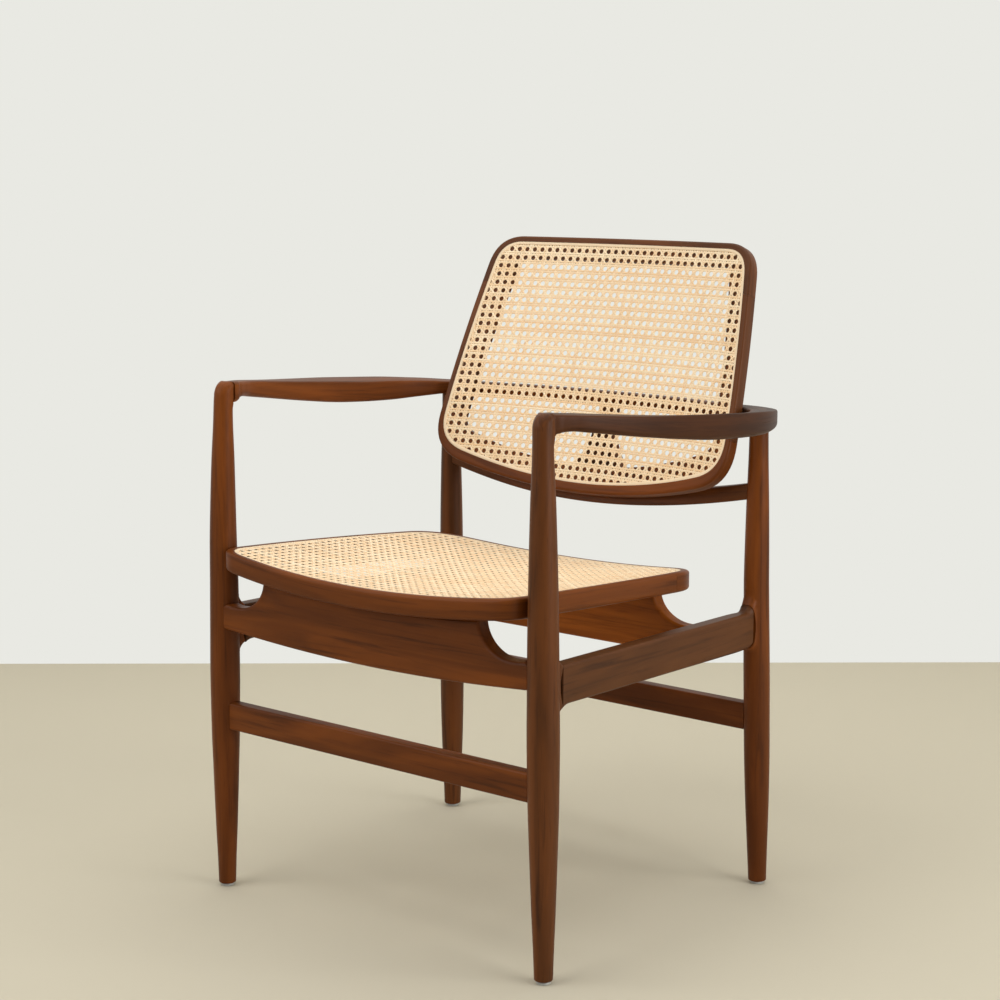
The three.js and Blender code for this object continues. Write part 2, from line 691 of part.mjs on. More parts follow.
// Back frame: upper and lower boards across, side boards tenoned between them
function backBlock(s0, s1, t0, t1, n0, n1, hollow) {
  const geometry = new THREE.BoxGeometry(Math.abs(s1 - s0), Math.abs(t1 - t0), Math.abs(n1 - n0));
  geometry.translate((s0 + s1) / 2, (t0 + t1) / 2, (n0 + n1) / 2);
  geometry.applyMatrix4(new THREE.Matrix4().makeBasis(
    new THREE.Vector3(1, 0, 0),
    new THREE.Vector3(0, Math.sin(lean), Math.cos(lean)),
    new THREE.Vector3(0, Math.cos(lean), -Math.sin(lean)),
  ));
  geometry.translate(0, backFootY - hollow, backFootZ);
  const solid = toSolid(geometry);
  return solid.volume() > 0 ? solid : toSolid(flipped(geometry));
}
function flipped(geometry) {
  const turned = geometry.clone();
  const index = Array.from(turned.index.array);
  for (let i = 0; i < index.length; i += 3) [index[i], index[i + 1]] = [index[i + 1], index[i]];
  turned.setIndex(index);
  return turned;
}
const backReach = 2 * backLowerHalf;
const backSlice = (s0, s1, t0, t1) => backBlock(s0, s1, t0, t1, -backReach, backReach, 0);
function backTenon(side, joint, grow) {
  const share = (joint - backLowerLine) / (backUpperLine - backLowerLine);
  const half = backLowerHalf + (backUpperHalf - backLowerHalf) * share;
  const s = side * (half - backBoard / 2);
  const width = backBoard / 4 + grow;
  const long = backBoard / 2 + grow;
  const middle = backThickness * backTenonDeepShare;
  const high = tenonThickness / 3 + grow;
  const hollow = backHollow * (s / backLowerHalf) ** 2;
  return backBlock(s - width, s + width, joint - long, joint + long, middle - high, middle + high, hollow);
}
const backUpperPiece = bothSides.reduce(
  (solid, side) => solid.subtract(backTenon(side, backUpperJoint, clearance)),
  back.frame.intersect(backSlice(-backReach, backReach, backUpperJoint + clearance / 2, backReach)),
);
const backLowerPiece = bothSides.reduce(
  (solid, side) => solid.subtract(backTenon(side, backLowerJoint, clearance)),
  back.frame.intersect(backSlice(-backReach, backReach, -backReach, backLowerJoint - clearance / 2)),
);
const backSidePiece = (side) => back.frame
  .intersect(backSlice(0, side * backReach, backLowerJoint + clearance / 2, backUpperJoint - clearance / 2))
  .add(backTenon(side, backUpperJoint, 0))
  .add(backTenon(side, backLowerJoint, 0));

// Aprons: a front view is drawn and given its thickness, then cut under the seat and round the legs
function apron(half, raisedHalf, bottomAt, endTop, seatLevel, y0) {
  const points = [];
  for (let i = 0; i <= bowSteps; i += 1) {
    const x = half * (2 * (i / bowSteps) - 1);
    points.push([x, bottomAt(x)]);
  }
  const rise = seatLevel - endTop;
  const scoop = (side) => Array.from({ length: archSteps + 1 }, (_, i) => {
    const angle = ((i / archSteps) * Math.PI) / 2;
    return [
      side * (raisedHalf + scoopWidth * (1 - Math.sin(angle))),
      endTop + rise * (1 - Math.cos(angle)),
    ];
  });
  const top = seatLevel + seatThickness / 4;
  points.push([half, endTop], ...scoop(1), [raisedHalf, top]);
  points.push([-raisedHalf, top], ...scoop(-1).reverse(), [-half, endTop]);
  const shape = new THREE.Shape(points.map(([x, z]) => new THREE.Vector2(x, z)));
  const geometry = new THREE.ExtrudeGeometry(shape, { depth: apronThickness, bevelEnabled: false });
  geometry.rotateX(Math.PI / 2);
  geometry.translate(0, y0 + apronThickness, 0);
  return toSolid(geometry);
}
const seatUnder = seatBody(clearance);
const seatLevelAt = (x, y) => seatTop(x, y) - seatThickness;
const frontApronTenon = (side, grow) => {
  const [x, y] = frontAxis(side, sideRailFrontTop);
  const inner = x - side * (frontLegWidth / 2 + tenonShoulder);
  const outer = x - side * (frontLegWidth / 2 - apronTenonDepth - grow);
  const bottom = frontApronBottom + frontApronEndLift + tenonShoulder / 2;
  const top = frontApronEndTop - tenonShoulder / 2;
  const half = tenonThickness / 2 + grow;
  return box(inner, outer, y - half, y + half, bottom - grow, top + grow);
};
let frontApron = apron(
  frontAxisX, frontApronRaisedHalf,
  (x) => frontApronBottom + frontApronEndLift * (x / frontAxisX) ** 2, frontApronEndTop,
  seatLevelAt(frontApronRaisedHalf, 0), frontApronFace,
).subtract(seatUnder);
const rearApronEnd = sideRailX(rearApronFace) - sideRailThickness / 2 - clearance;
const rearApronTenon = (side, grow) => {
  const middle = rearApronFace + apronThickness / 2;
  return box(
    side * (rearApronEnd - tenonShoulder), side * (rearApronEnd + sideRailThickness / 2 + grow),
    middle - tenonThickness / 2 - grow, middle + tenonThickness / 2 + grow,
    rearApronBottom + tenonShoulder - grow, rearApronEndTop - tenonShoulder + grow,
  );
};
let rearApron = apron(
  rearApronEnd, rearApronRaisedHalf, () => rearApronBottom, rearApronEndTop,
  seatLevelAt(rearApronRaisedHalf, rearApronFace), rearApronFace,
).subtract(seatUnder);

// Stretchers between the legs, low down
function stretcher(axisAt, bottom) {
  const [x, y] = axisAt(1, bottom + stretcherHeight / 2);
  const rows = [-x, 0, x].map((place) => [place, y, stretcherThickness, bottom, bottom + stretcherHeight]);
  return lengthwiseRail(rows, stretcherRound, true);
}
function stretcherTenon(side, axisAt, width, bottom, grow) {
  const [x, y] = axisAt(side, bottom + stretcherHeight / 2);
  const half = tenonThickness / 2 + grow;
  const inner = x - side * (width / 2 + tenonShoulder);
  return box(
    inner, x + side * grow, y - half, y + half,
    bottom + tenonShoulder - grow, bottom + stretcherHeight - tenonShoulder + grow,
  );
}

// Lower back rail
const panelRear = (s, z) => {
  const t = (z - backFootZ + backThickness * Math.sin(lean)) / Math.cos(lean);
  return backPoint(s, t, backThickness)[1];
};
function lowerRail(grow) {
  const rings = [];
  const rearFace = legPitch + lowerRailThickness / 2 + grow;
  for (let i = 0; i <= bowSteps; i += 1) {
    const share = 2 * (i / bowSteps) - 1;
    const x = rearAxisX * share;
    const bottom = lowerRailMiddleBottom + lowerRailEndRise * share ** 2;
    const top = bottom + lowerRailHeight;
    const frontAt = (z) => {
      const seated = panelRear(0, z) + clearance;
      return seated + (rearFace - grow - lowerRailThickness - seated) * share ** 2 - grow;
    };
    const width = rearFace - frontAt((bottom + top) / 2);
    rings.push(roundedSection(width, lowerRailHeight + 2 * grow, lowerRailRound).map(([u, v]) => {
      const z = (bottom + top) / 2 + v;
      const front = (width / 2 - u) / width;
      return [x, rearFace - width / 2 + u + front * (frontAt(z) - frontAt((bottom + top) / 2)), z];
    }));
  }
  return loft(rings);
}
const lowerTenon = (side, grow) => {
  const bottom = lowerRailMiddleBottom + lowerRailEndRise * lowerTenonRiseShare;
  const inner = side * (rearAxisX - rearLegWidth / 2 - tenonShoulder);
  const outer = side * (rearAxisX - rearLegWidth / 2 + lowerTenonDepth + grow);
  const half = tenonThickness / 2 + grow;
  return box(
    inner, outer, legPitch - half, legPitch + half,
    bottom + tenonShoulder / 2 - grow, bottom + lowerRailHeight - tenonShoulder / 2 + grow,
  );
};

// Post behind the panel
const crossRailBottom = crossRailTop - crossRailHeight;
const postFootZ = lowerRailMiddleBottom + lowerRailHeight / 2;
const crossMiddleY = legPitch + crossRailBow + crossRailThickness / 2;
function postBody() {
  const top = crossRailBottom - clearance;
  const rows = postShares.map(([up, flare, forward]) => {
    const z = postFootZ + (top - postFootZ) * up;
    const middle = crossMiddleY - postLean * (1 - forward);
    const width = postTopWidth + 2 * postFlare * flare;
    return roundedSection(width, postThickness, postRound).map(([u, v]) => [u, middle + v, z]);
  });
  return loft(rows);
}
const postTenonBox = (z0, z1, y, grow) => box(
  -postTopWidth / 3 - grow, postTopWidth / 3 + grow,
  y - tenonThickness / 2 - grow, y + tenonThickness / 2 + grow, z0 - grow, z1 + grow,
);
const postUpperTenon = (grow) => postTenonBox(
  crossRailBottom - tenonShoulder, crossRailBottom + tenonShoulder, crossMiddleY, grow,
);
const postLowerTenon = (grow) => postTenonBox(
  lowerRailMiddleBottom + lowerRailHeight / 3, lowerRailMiddleBottom + lowerRailHeight + tenonShoulder,
  crossMiddleY - postLean, grow,
);

// Arms
function armBody(side, grow) {
  const places = [];
  armShares.forEach((row, i) => {
    places.push(i);
    if (i >= armBendRow && i + 1 < armShares.length) places.push(i + 0.5);
  });
  const indexed = armShares.map((row, i) => [i, ...row]);
  const rowAt = (i) => [1, 2, 3, 4, 5, 6].map((column) => smoothAt(indexed, i, column));
  const centreAt = (i) => {
    const [back, swell] = rowAt(i);
    const x = swell >= 0 ? frontAxisX + armSwell * swell : frontAxisX + (frontAxisX - armEndX) * swell;
    return [x, legPitch * back];
  };
  const nearShare = 0.05;
  const rings = places.map((i) => {
    const [, , width, fall, depth, tilt] = rowAt(i);
    const [x, y] = centreAt(i);
    const before = centreAt(Math.max(i - nearShare, 0));
    const after = centreAt(Math.min(i + nearShare, armShares.length - 1));
    const way = [after[0] - before[0], after[1] - before[1]];
    const length = Math.hypot(...way);
    const top = frontLegTop - armFall * fall + grow;
    const high = armDepth * depth + 2 * grow;
    const rise = (armTilt * tilt) / armWidth;
    return roundedSection(armWidth * width + 2 * grow, high, armRound).map(([u, v]) => {
      const turned = armTiltBelow + (1 - armTiltBelow) * (v / high + 0.5);
      return [
        side * (x + (u * way[1]) / length), y - (u * way[0]) / length, top - high / 2 + v + rise * turned * u,
      ];
    });
  });
  return loft(rings);
}
const armTenon = (side, grow) => {
  const [x, y] = frontAxis(side, frontLegTop);
  const top = frontLegTop - tenonShoulder;
  const half = tenonThickness / 2 + grow;
  return box(
    x - half, x + half, y - armSeam / 3 - grow, y + armSeam + 2 * tenonShoulder,
    top - armTenonHeight - grow, top + grow,
  );
};

// Rail between the arm ends
function crossRail() {
  const rows = [];
  for (let i = -bowSteps; i <= bowSteps; i += 1) {
    const share = i / bowSteps;
    const y = legPitch + crossRailThickness / 2 + crossRailBow * smoothAt(crossBowShares, Math.abs(share), 1);
    rows.push([share * (armEndX - clearance / 2), y, crossRailThickness, crossRailBottom, crossRailTop]);
  }
  return lengthwiseRail(rows, crossRailRound, true);
}

// Fixings: a screw is turned about its axis and placed with its point forward
function screwProfile(length) {
  return [
    [0, 0], [screwHeadWidth / 2, 0], [screwHeadWidth / 2, screwHeadHeight / 2], [screwWidth, screwHeadHeight],
    [screwWidth / 2, screwHeadHeight], [screwWidth / 2, length - screwWidth], [0, length],
  ].map(([r, z]) => new THREE.Vector2(r, z));
}
function addScrew(name, head, tip) {
  const start = new THREE.Vector3(...head);
  const way = new THREE.Vector3(...tip).sub(start);
  const screw = new THREE.Mesh(new THREE.LatheGeometry(screwProfile(way.length()), turnedSides), steel);
  screw.name = name;
  screw.position.copy(start);
  screw.quaternion.setFromUnitVectors(THREE.Object3D.DEFAULT_UP, way.normalize());
  chair.add(screw);
}
function addDowel(name, from, to) {
  const start = new THREE.Vector3(...from);
  const way = new THREE.Vector3(...to).sub(start);
  const geometry = new THREE.CylinderGeometry(dowelWidth / 2, dowelWidth / 2, way.length(), turnedSides);
  const dowel = new THREE.Mesh(geometry, paleWood);
  dowel.name = name;
  dowel.position.copy(start).addScaledVector(way, 0.5);
  dowel.quaternion.setFromUnitVectors(THREE.Object3D.DEFAULT_UP, way.normalize());
  chair.add(dowel);
}
// Hole for a dowel or a screw, longer than what goes in
function hole(from, to, width) {
  const start = new THREE.Vector3(...from);
  const end = new THREE.Vector3(...to);
  const way = end.clone().sub(start).setLength(clearance);
  return bar(start.sub(way).toArray(), end.add(way).toArray(), width + 2 * clearance);
}
const screwHole = (head, tip) => {
  const start = new THREE.Vector3(...head);
  const way = new THREE.Vector3(...tip).sub(start).normalize();
  const pocketEnd = start.clone().addScaledVector(way, screwHeadHeight + clearance);
  const pocketStart = start.clone().addScaledVector(way, -overrun);
  const pocket = bar(pocketStart.toArray(), pocketEnd.toArray(), screwHeadWidth + 2 * clearance);
  return hole(head, tip, screwWidth).add(pocket);
};

// Seat dowels stand in the aprons and reach into the seat frame
const seatDowel = (side, y) => {
  const x = side * seatDowelX;
  const middle = seatTop(x, y) - seatThickness;
  return [[x, y, middle - seatDowelSink], [x, y, middle + dowelLength - seatDowelSink]];
};
const frontDowelY = frontApronFace + apronThickness / 2;
const rearDowelY = rearApronFace + apronThickness / 2;

// Screws through the lower rail: square to the panel, heads sunk in the rail's rear face
const lowerScrew = (side) => {
  const s = side * lowerScrewX;
  const depth = (legPitch + lowerRailThickness / 2 - backFootY - screwHeadHeight) / Math.cos(lean);
  const tip = backThickness - lowerScrewBite;
  return [backPoint(s, lowerScrewLine, depth), backPoint(s, lowerScrewLine, tip)];
};
const armScrewZ = crossRailTop - crossRailHeight / 2;
const armScrew = (side) => {
  const x = side * armScrewX;
  const tip = panelRear(x, armScrewZ) - armScrewBite;
  return [[x, legPitch + crossRailThickness - screwHeadHeight / 2, armScrewZ], [x, tip, armScrewZ]];
};
const crossDowel = (side) => {
  const y = legPitch + crossRailThickness / 2;
  const inner = armEndX - dowelLength / 2;
  const outer = armEndX + dowelLength / 4;
  return [[side * inner, y, armScrewZ], [side * outer, y, armScrewZ]];
};
const armDowel = (side) => {
  const [x, y] = rearAxis(side, rearLegTop);
  return [[x, y, rearLegTop - dowelLength / 2], [x, y, rearLegTop + dowelLength / 3]];
};

// Put the pieces together
const drill = (solid, ends, width) => solid.subtract(hole(...ends, width));
let seatFrontBoardSolid = seatFrontPiece;
let seatRearBoardSolid = seatRearPiece;
let lowerRailSolid = lowerRail(0).subtract(postLowerTenon(clearance));
let crossRailSolid = crossRail().subtract(postUpperTenon(clearance));
let backLowerSolid = backLowerPiece;
const panelSpace = backBody(clearance);
const sideName = (side) => (side > 0 ? 'right' : 'left');

bothSides.forEach((side) => {
  const name = sideName(side);
  const frontDowel = seatDowel(side, frontDowelY);
  const rearDowel = seatDowel(side, rearDowelY);
  const frontSpace = frontLegBody(side, clearance).add(ear(side, false, 3 * sideRailThickness, clearance));
  const rearSpace = rearLegBody(side, clearance).add(ear(side, true, 3 * sideRailThickness, clearance));
  const armSpace = armBody(side, clearance);

  let frontLeg = frontLegBody(side, 0)
    .add(ear(side, false, sideRailThickness, 0))
    .intersect(noseProfile(side))
    .subtract(sideTenon(side, false, clearance))
    .subtract(frontApronTenon(side, clearance))
    .subtract(stretcherTenon(side, frontAxis, frontLegWidth, frontStretcherBottom, clearance))
    .subtract(armTenon(side, clearance));
  frontLeg = frontLeg.subtract(box(
    side * frontAxisX - frontLegWidth, side * frontAxisX + frontLegWidth, armSeam, armSeam + frontLegWidth,
    frontLegTop - armDepth - clearance, frontLegTop + overrun,
  ));
  let rearLeg = rearLegBody(side, 0)
    .add(ear(side, true, sideRailThickness, 0))
    .subtract(armSpace)
    .subtract(sideTenon(side, true, clearance))
    .subtract(stretcherTenon(side, rearAxis, rearLegWidth, rearStretcherBottom, clearance))
    .subtract(lowerTenon(side, clearance));
  rearLeg = drill(rearLeg, armDowel(side), dowelWidth);
  const glideHole = (axisAt) => {
    const [x, y] = axisAt(side, 0);
    return bar([x, y, 0], [x, y, glideHeight + glidePinLength + clearance], glidePinWidth + 2 * clearance);
  };
  addPiece(`front_leg_${name}`, frontLeg.subtract(glideHole(frontAxis)), darkWood);
  addPiece(`back_leg_${name}`, rearLeg.subtract(glideHole(rearAxis)), darkWood);

  const rail = sideRailBody(side)
    .subtract(frontSpace)
    .subtract(rearSpace)
    .add(sideTenon(side, false, 0).subtract(box(
      side * (frontAxisX - frontLegWidth), side * (frontAxisX + frontLegWidth),
      frontLegWidth / 2 + 2 * earReach, legPitch / 2, 0, seatHeight,
    )))
    .add(sideTenon(side, true, 0).subtract(box(
      side * (frontAxisX - frontLegWidth), side * (frontAxisX + frontLegWidth),
      legPitch / 2, legPitch - frontLegWidth / 2 - 2 * earReach, 0, seatHeight,
    )))
    .subtract(rearApronTenon(side, clearance));
  addPiece(`side_rail_${name}`, rail, darkWood);

  frontApron = frontApron.subtract(frontLegBody(side, clearance)).add(frontApronTenon(side, 0));
  frontApron = drill(frontApron, frontDowel, dowelWidth);
  rearApron = drill(rearApron.add(rearApronTenon(side, 0)), rearDowel, dowelWidth);
  seatFrontBoardSolid = drill(seatFrontBoardSolid, frontDowel, dowelWidth);
  seatRearBoardSolid = drill(seatRearBoardSolid, rearDowel, dowelWidth);

  const pastEnd = box(side * (armEndX + clearance / 2), -side * armEndX, 0, 2 * legPitch, 0, 2 * frontLegTop);
  const beforeSeam = box(
    side * (frontAxisX - frontLegWidth), side * (frontAxisX + frontLegWidth),
    -frontLegWidth, armSeam + clearance, 0, 2 * frontLegTop,
  );
  let arm = armBody(side, 0)
    .subtract(pastEnd)
    .subtract(panelSpace)
    .subtract(beforeSeam)
    .add(armTenon(side, 0));
  arm = drill(drill(arm, armDowel(side), dowelWidth), crossDowel(side), dowelWidth);
  addPiece(`arm_${name}`, arm.subtract(screwHole(...armScrew(side))), darkWood);
  crossRailSolid = drill(crossRailSolid, crossDowel(side), dowelWidth);
  lowerRailSolid = lowerRailSolid
    .subtract(rearLegBody(side, clearance))
    .add(lowerTenon(side, 0))
    .subtract(screwHole(...lowerScrew(side)));
  backLowerSolid = backLowerSolid.subtract(hole(...lowerScrew(side), screwWidth));
  const backSide = backSidePiece(side).subtract(hole(...armScrew(side), screwWidth));
  addPiece(`back_frame_side_${name}`, backSide, darkWood);
  addPiece(`seat_frame_side_${name}`, seatSidePiece(side), warmWood);

  addDowel(`seat_dowel_front_${name}`, ...frontDowel);
  addDowel(`seat_dowel_rear_${name}`, ...rearDowel);
  addDowel(`arm_dowel_${name}`, ...armDowel(side));
  addDowel(`cross_rail_dowel_${name}`, ...crossDowel(side));
  addScrew(`back_screw_lower_${name}`, ...lowerScrew(side));
  addScrew(`back_screw_arm_${name}`, ...armScrew(side));
});

addPiece('front_apron', frontApron, warmWood);
addPiece('rear_apron', rearApron, warmWood);
const cutByLegs = (solid, leg, tenon) => bothSides.reduce(
  (left, side) => left.subtract(leg(side, clearance)).add(tenon(side)),
  solid,
);
addPiece('front_stretcher', cutByLegs(
  stretcher(frontAxis, frontStretcherBottom), frontLegBody,
  (side) => stretcherTenon(side, frontAxis, frontLegWidth, frontStretcherBottom, 0),
), warmWood);
addPiece('rear_stretcher', cutByLegs(
  stretcher(rearAxis, rearStretcherBottom), rearLegBody,
  (side) => stretcherTenon(side, rearAxis, rearLegWidth, rearStretcherBottom, 0),
), darkWood);
addPiece('lower_back_rail', lowerRailSolid, darkWood);
addPiece('arm_cross_rail', crossRailSolid, warmWood);
const post = postBody().subtract(lowerRail(clearance)).add(postUpperTenon(0)).add(postLowerTenon(0));
addPiece('back_post', post, darkWood);
addPiece('seat_frame_front', seatFrontBoardSolid, warmWood);
addPiece('seat_frame_rear', seatRearBoardSolid, warmWood);
addPiece('seat_cane', seat.sheet, cane);
addPiece('seat_spline', seat.strip, caneStrip);
addPiece('back_frame_upper', backUpperPiece, darkWood);
addPiece('back_frame_lower', backLowerSolid, darkWood);
addPiece('back_cane', back.sheet, cane);
addPiece('back_spline', back.strip, caneStrip);

// Glides under the feet, each with a pin in its leg
const glideProfile = [
  [0, 0], [glideWidth / 2, 0], [glideWidth / 2, glideHeight], [glidePinWidth / 2, glideHeight],
  [glidePinWidth / 2, glideHeight + glidePinLength], [0, glideHeight + glidePinLength],
].map(([r, z]) => new THREE.Vector2(r, z));
bothSides.forEach((side) => {
  [['front', frontAxis], ['back', rearAxis]].forEach(([place, axisAt]) => {
    const glide = new THREE.Mesh(new THREE.LatheGeometry(glideProfile, turnedSides), clearPlastic);
    glide.name = `glide_${place}_${sideName(side)}`;
    const [x, y] = axisAt(side, 0);
    glide.rotation.x = Math.PI / 2;
    glide.position.set(x, y, 0);
    chair.add(glide);
  });
});

// The middle of the footprint stands on the origin
const bounds = new THREE.Box3().setFromObject(chair);
chair.position.y = -(bounds.min.y + bounds.max.y) / 2;

export default chair;
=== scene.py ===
# %% [markdown]
# # A caned armchair
# The chair is dark hardwood with a woven cane seat and back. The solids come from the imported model. This file
# keeps their places and sizes, and makes what the eye reads first: softly rounded wood with grain that
# follows each piece, and caning that is really woven. Such pieces could be modelled by hand with bevels and a
# sculpting brush. Here every surface is a formula worked out on a grid with numpy, so a size can be changed
# in one place.

import math

import bpy
import mathutils
import numpy as np
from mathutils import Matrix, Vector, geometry


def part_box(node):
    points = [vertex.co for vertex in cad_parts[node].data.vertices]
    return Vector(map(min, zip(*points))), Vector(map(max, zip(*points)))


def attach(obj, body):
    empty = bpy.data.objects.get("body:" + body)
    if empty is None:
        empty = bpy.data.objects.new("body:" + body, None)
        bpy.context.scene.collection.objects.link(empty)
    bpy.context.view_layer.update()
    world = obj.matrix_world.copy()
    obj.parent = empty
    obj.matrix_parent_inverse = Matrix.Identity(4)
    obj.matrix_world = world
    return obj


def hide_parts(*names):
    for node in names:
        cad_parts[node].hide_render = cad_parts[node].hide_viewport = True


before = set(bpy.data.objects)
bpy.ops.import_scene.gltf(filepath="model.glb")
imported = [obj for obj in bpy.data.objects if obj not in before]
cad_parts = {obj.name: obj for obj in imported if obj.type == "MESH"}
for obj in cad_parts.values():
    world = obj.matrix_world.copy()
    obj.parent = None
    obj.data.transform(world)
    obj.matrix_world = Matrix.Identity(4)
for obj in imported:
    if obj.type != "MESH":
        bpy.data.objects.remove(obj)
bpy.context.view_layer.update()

# %% [markdown]
# ## Measures
# The same driving sizes as the solids, in metres. The frame puts the middle of the footprint on the origin,
# so the front legs stand a little behind its front edge. Where they stand is read from a glide and not typed
# again, so that legs and glides can't drift apart. The legs splay: below the knee they run out towards the
# floor.

# %% Measures
MM = 0.001
LEFT, RIGHT = -1, 1
SIDES = (("left", LEFT), ("right", RIGHT))
# The play between pieces that are glued or screwed together
CLEAR = 0.3 * MM

front_foot = np.array(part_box("glide_front_right")).mean(axis=0)
rear_foot = np.array(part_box("glide_back_right")).mean(axis=0)
FRONT_SPLAY = np.array([3.5, -2.8]) * MM
REAR_SPLAY = np.array([5.7, 5.6]) * MM
KNEE = 400 * MM
FRONT_AXIS = front_foot[:2] - FRONT_SPLAY
REAR_AXIS = rear_foot[:2] - REAR_SPLAY
FRONT_Y, REAR_Y = FRONT_AXIS[1], REAR_AXIS[1]
PITCH = REAR_Y - FRONT_Y
print("axes of the right legs", FRONT_AXIS.round(4), REAR_AXIS.round(4))

# %% [markdown]
# ## From arrays to meshes
# A surface here is a stack of rings: each ring is a closed loop of points, and neighbours are joined by
# quads. The first and last ring get a flat face each, or the stack closes on itself. A modifier could round a
# box as well, but a stack of rings says exactly where each point goes. A second array, the grain, says where
# each point lies in its plank: across, across and along. The wood reads it, so the grain bends with an arm
# and isn't cut through it.

# %% Mesh helpers
def new_mesh_object(name, points, faces, grain=None, sharp=35.0):
    """Mesh object from points and a list of face arrays. Only triangles and quads are shaded smooth."""
    corners = np.concatenate([part.ravel() for part in faces]).astype(np.int32)
    sizes = np.concatenate([np.full(len(part), part.shape[1]) for part in faces])
    mesh = bpy.data.meshes.new(name)
    mesh.vertices.add(len(points))
    mesh.vertices.foreach_set("co", np.asarray(points, np.float32).ravel())
    mesh.loops.add(len(corners))
    mesh.loops.foreach_set("vertex_index", corners)
    mesh.polygons.add(len(sizes))
    mesh.polygons.foreach_set("loop_start", (np.cumsum(sizes) - sizes).astype(np.int32))
    mesh.update(calc_edges=True)
    if grain is not None:
        attribute = mesh.attributes.new("grain", "FLOAT_VECTOR", "POINT")
        attribute.data.foreach_set("vector", np.asarray(grain, np.float32).ravel())
    mesh.validate()
    corner_counts = np.empty(len(mesh.polygons), np.int32)
    mesh.polygons.foreach_get("loop_total", corner_counts)
    mesh.polygons.foreach_set("use_smooth", corner_counts < 5)
    mesh.set_sharp_from_angle(angle=math.radians(sharp))
    obj = bpy.data.objects.new(name, mesh)
    bpy.context.scene.collection.objects.link(obj)
    return obj


def ring_quads(count, around, closed):
    """Quads between neighbouring rings of a stack, numbered ring by ring."""
    i = np.arange(count if closed else count - 1)[:, None]
    j = np.arange(around)[None, :]
    k, m = (i + 1) % count, (j + 1) % around
    quads = np.stack([i * around + j, i * around + m, k * around + m, k * around + j], axis=-1)
    return quads.reshape(-1, 4)


def ring_caps(count, around, cap=None):
    """Faces that close a stack at both ends: one flat face each, or the faces of a cap over one ring."""
    cap = np.arange(around)[None] if cap is None else cap
    return [cap[:, ::-1], cap + (count - 1) * around]


def volume_of(points, quads):
    """Signed volume under quads: a sum of corner products, positive where they face outwards."""
    a, b, c, d = (points[quads[:, k]] for k in range(4))
    halves = np.einsum("ij,ij->i", a, np.cross(b, c)), np.einsum("ij,ij->i", a, np.cross(c, d))
    return (halves[0] + halves[1]).sum() / 6


def outward(points, faces):
    """Face arrays that start with quads, turned over where the volume under those comes out negative."""
    if volume_of(points - points.mean(axis=0), faces[0]) < 0:
        return [part[:, ::-1] for part in faces]
    return faces


def skin(name, rings, grain=None, closed=False, sharp=35.0, cap=None):
    """Solid from a stack of rings (n, m, 3). Its ends are closed, or it runs back into itself."""
    rings = np.asarray(rings, float)
    n, m = rings.shape[:2]
    points = rings.reshape(-1, 3)
    faces = [ring_quads(n, m, closed)] + ([] if closed else ring_caps(n, m, cap))
    words = None if grain is None else np.asarray(grain, float).reshape(-1, 3)
    return new_mesh_object(name, points, outward(points, faces), words, sharp)


def unit(v):
    """Vectors scaled to length one along the last axis."""
    return v / np.linalg.norm(v, axis=-1, keepdims=True)


def run_lengths(line):
    """Distance travelled along a line of points, from nought at its start."""
    return np.concatenate([[0], np.cumsum(np.linalg.norm(np.diff(line, axis=0), axis=1))])


def smooth_rows(rows, places):
    """Rows that start with their place, read at new places: a cubic with its slopes from neighbours."""
    rows = np.asarray(rows, float)
    x, y = rows[:, 0], rows[:, 1:]
    slope = np.gradient(y, x, axis=0)
    i = np.clip(np.searchsorted(x, places, side="right") - 1, 0, len(x) - 2)
    span = (x[i + 1] - x[i])[:, None]
    t = ((places - x[i]) / span[:, 0])[:, None]
    return (y[i] * (2 * t**3 - 3 * t**2 + 1) + y[i + 1] * (3 * t**2 - 2 * t**3)
            + span * slope[i] * (t**3 - 2 * t**2 + t) + span * slope[i + 1] * (t**3 - t**2))


def rounded_section(width, height, low_round, high_round, steps=6):
    """Rectangle with quarter circles at its corners, (4 * steps, 2), or one for each row of sizes."""
    turn = np.linspace(0, math.pi / 2, steps)
    angle = np.concatenate([turn + k * math.pi / 2 for k in range(4)])
    across, up = np.repeat([(1, 1), (-1, 1), (-1, -1), (1, -1)], steps, axis=0).T
    radius = np.where(up > 0, high_round, low_round)
    u = across * (width / 2 - radius) + radius * np.cos(angle)
    v = up * (height / 2 - radius) + radius * np.sin(angle)
    return np.stack(np.broadcast_arrays(u, v), axis=-1)


def straight_grain(places, seed):
    """Grain of a plank: the places given, shifted so that no two planks are alike."""
    return np.asarray(places) + np.array([1.7, 2.3, 0.9]) * seed


print("a rounded section has", len(rounded_section(1, 1, 0.1, 0.1)), "points")

# %% [markdown]
# ## Sizes of the seat and the back panel
# Both are rounded trapezia with bowed edges. An edge is a parabola that stands out from the straight line
# between two corners, and each corner is a second parabola that meets its neighbours without a kink. Bezier
# curve objects would do the same, but as plain functions the rims can be grown or drawn in, and cut exactly
# where boards meet.

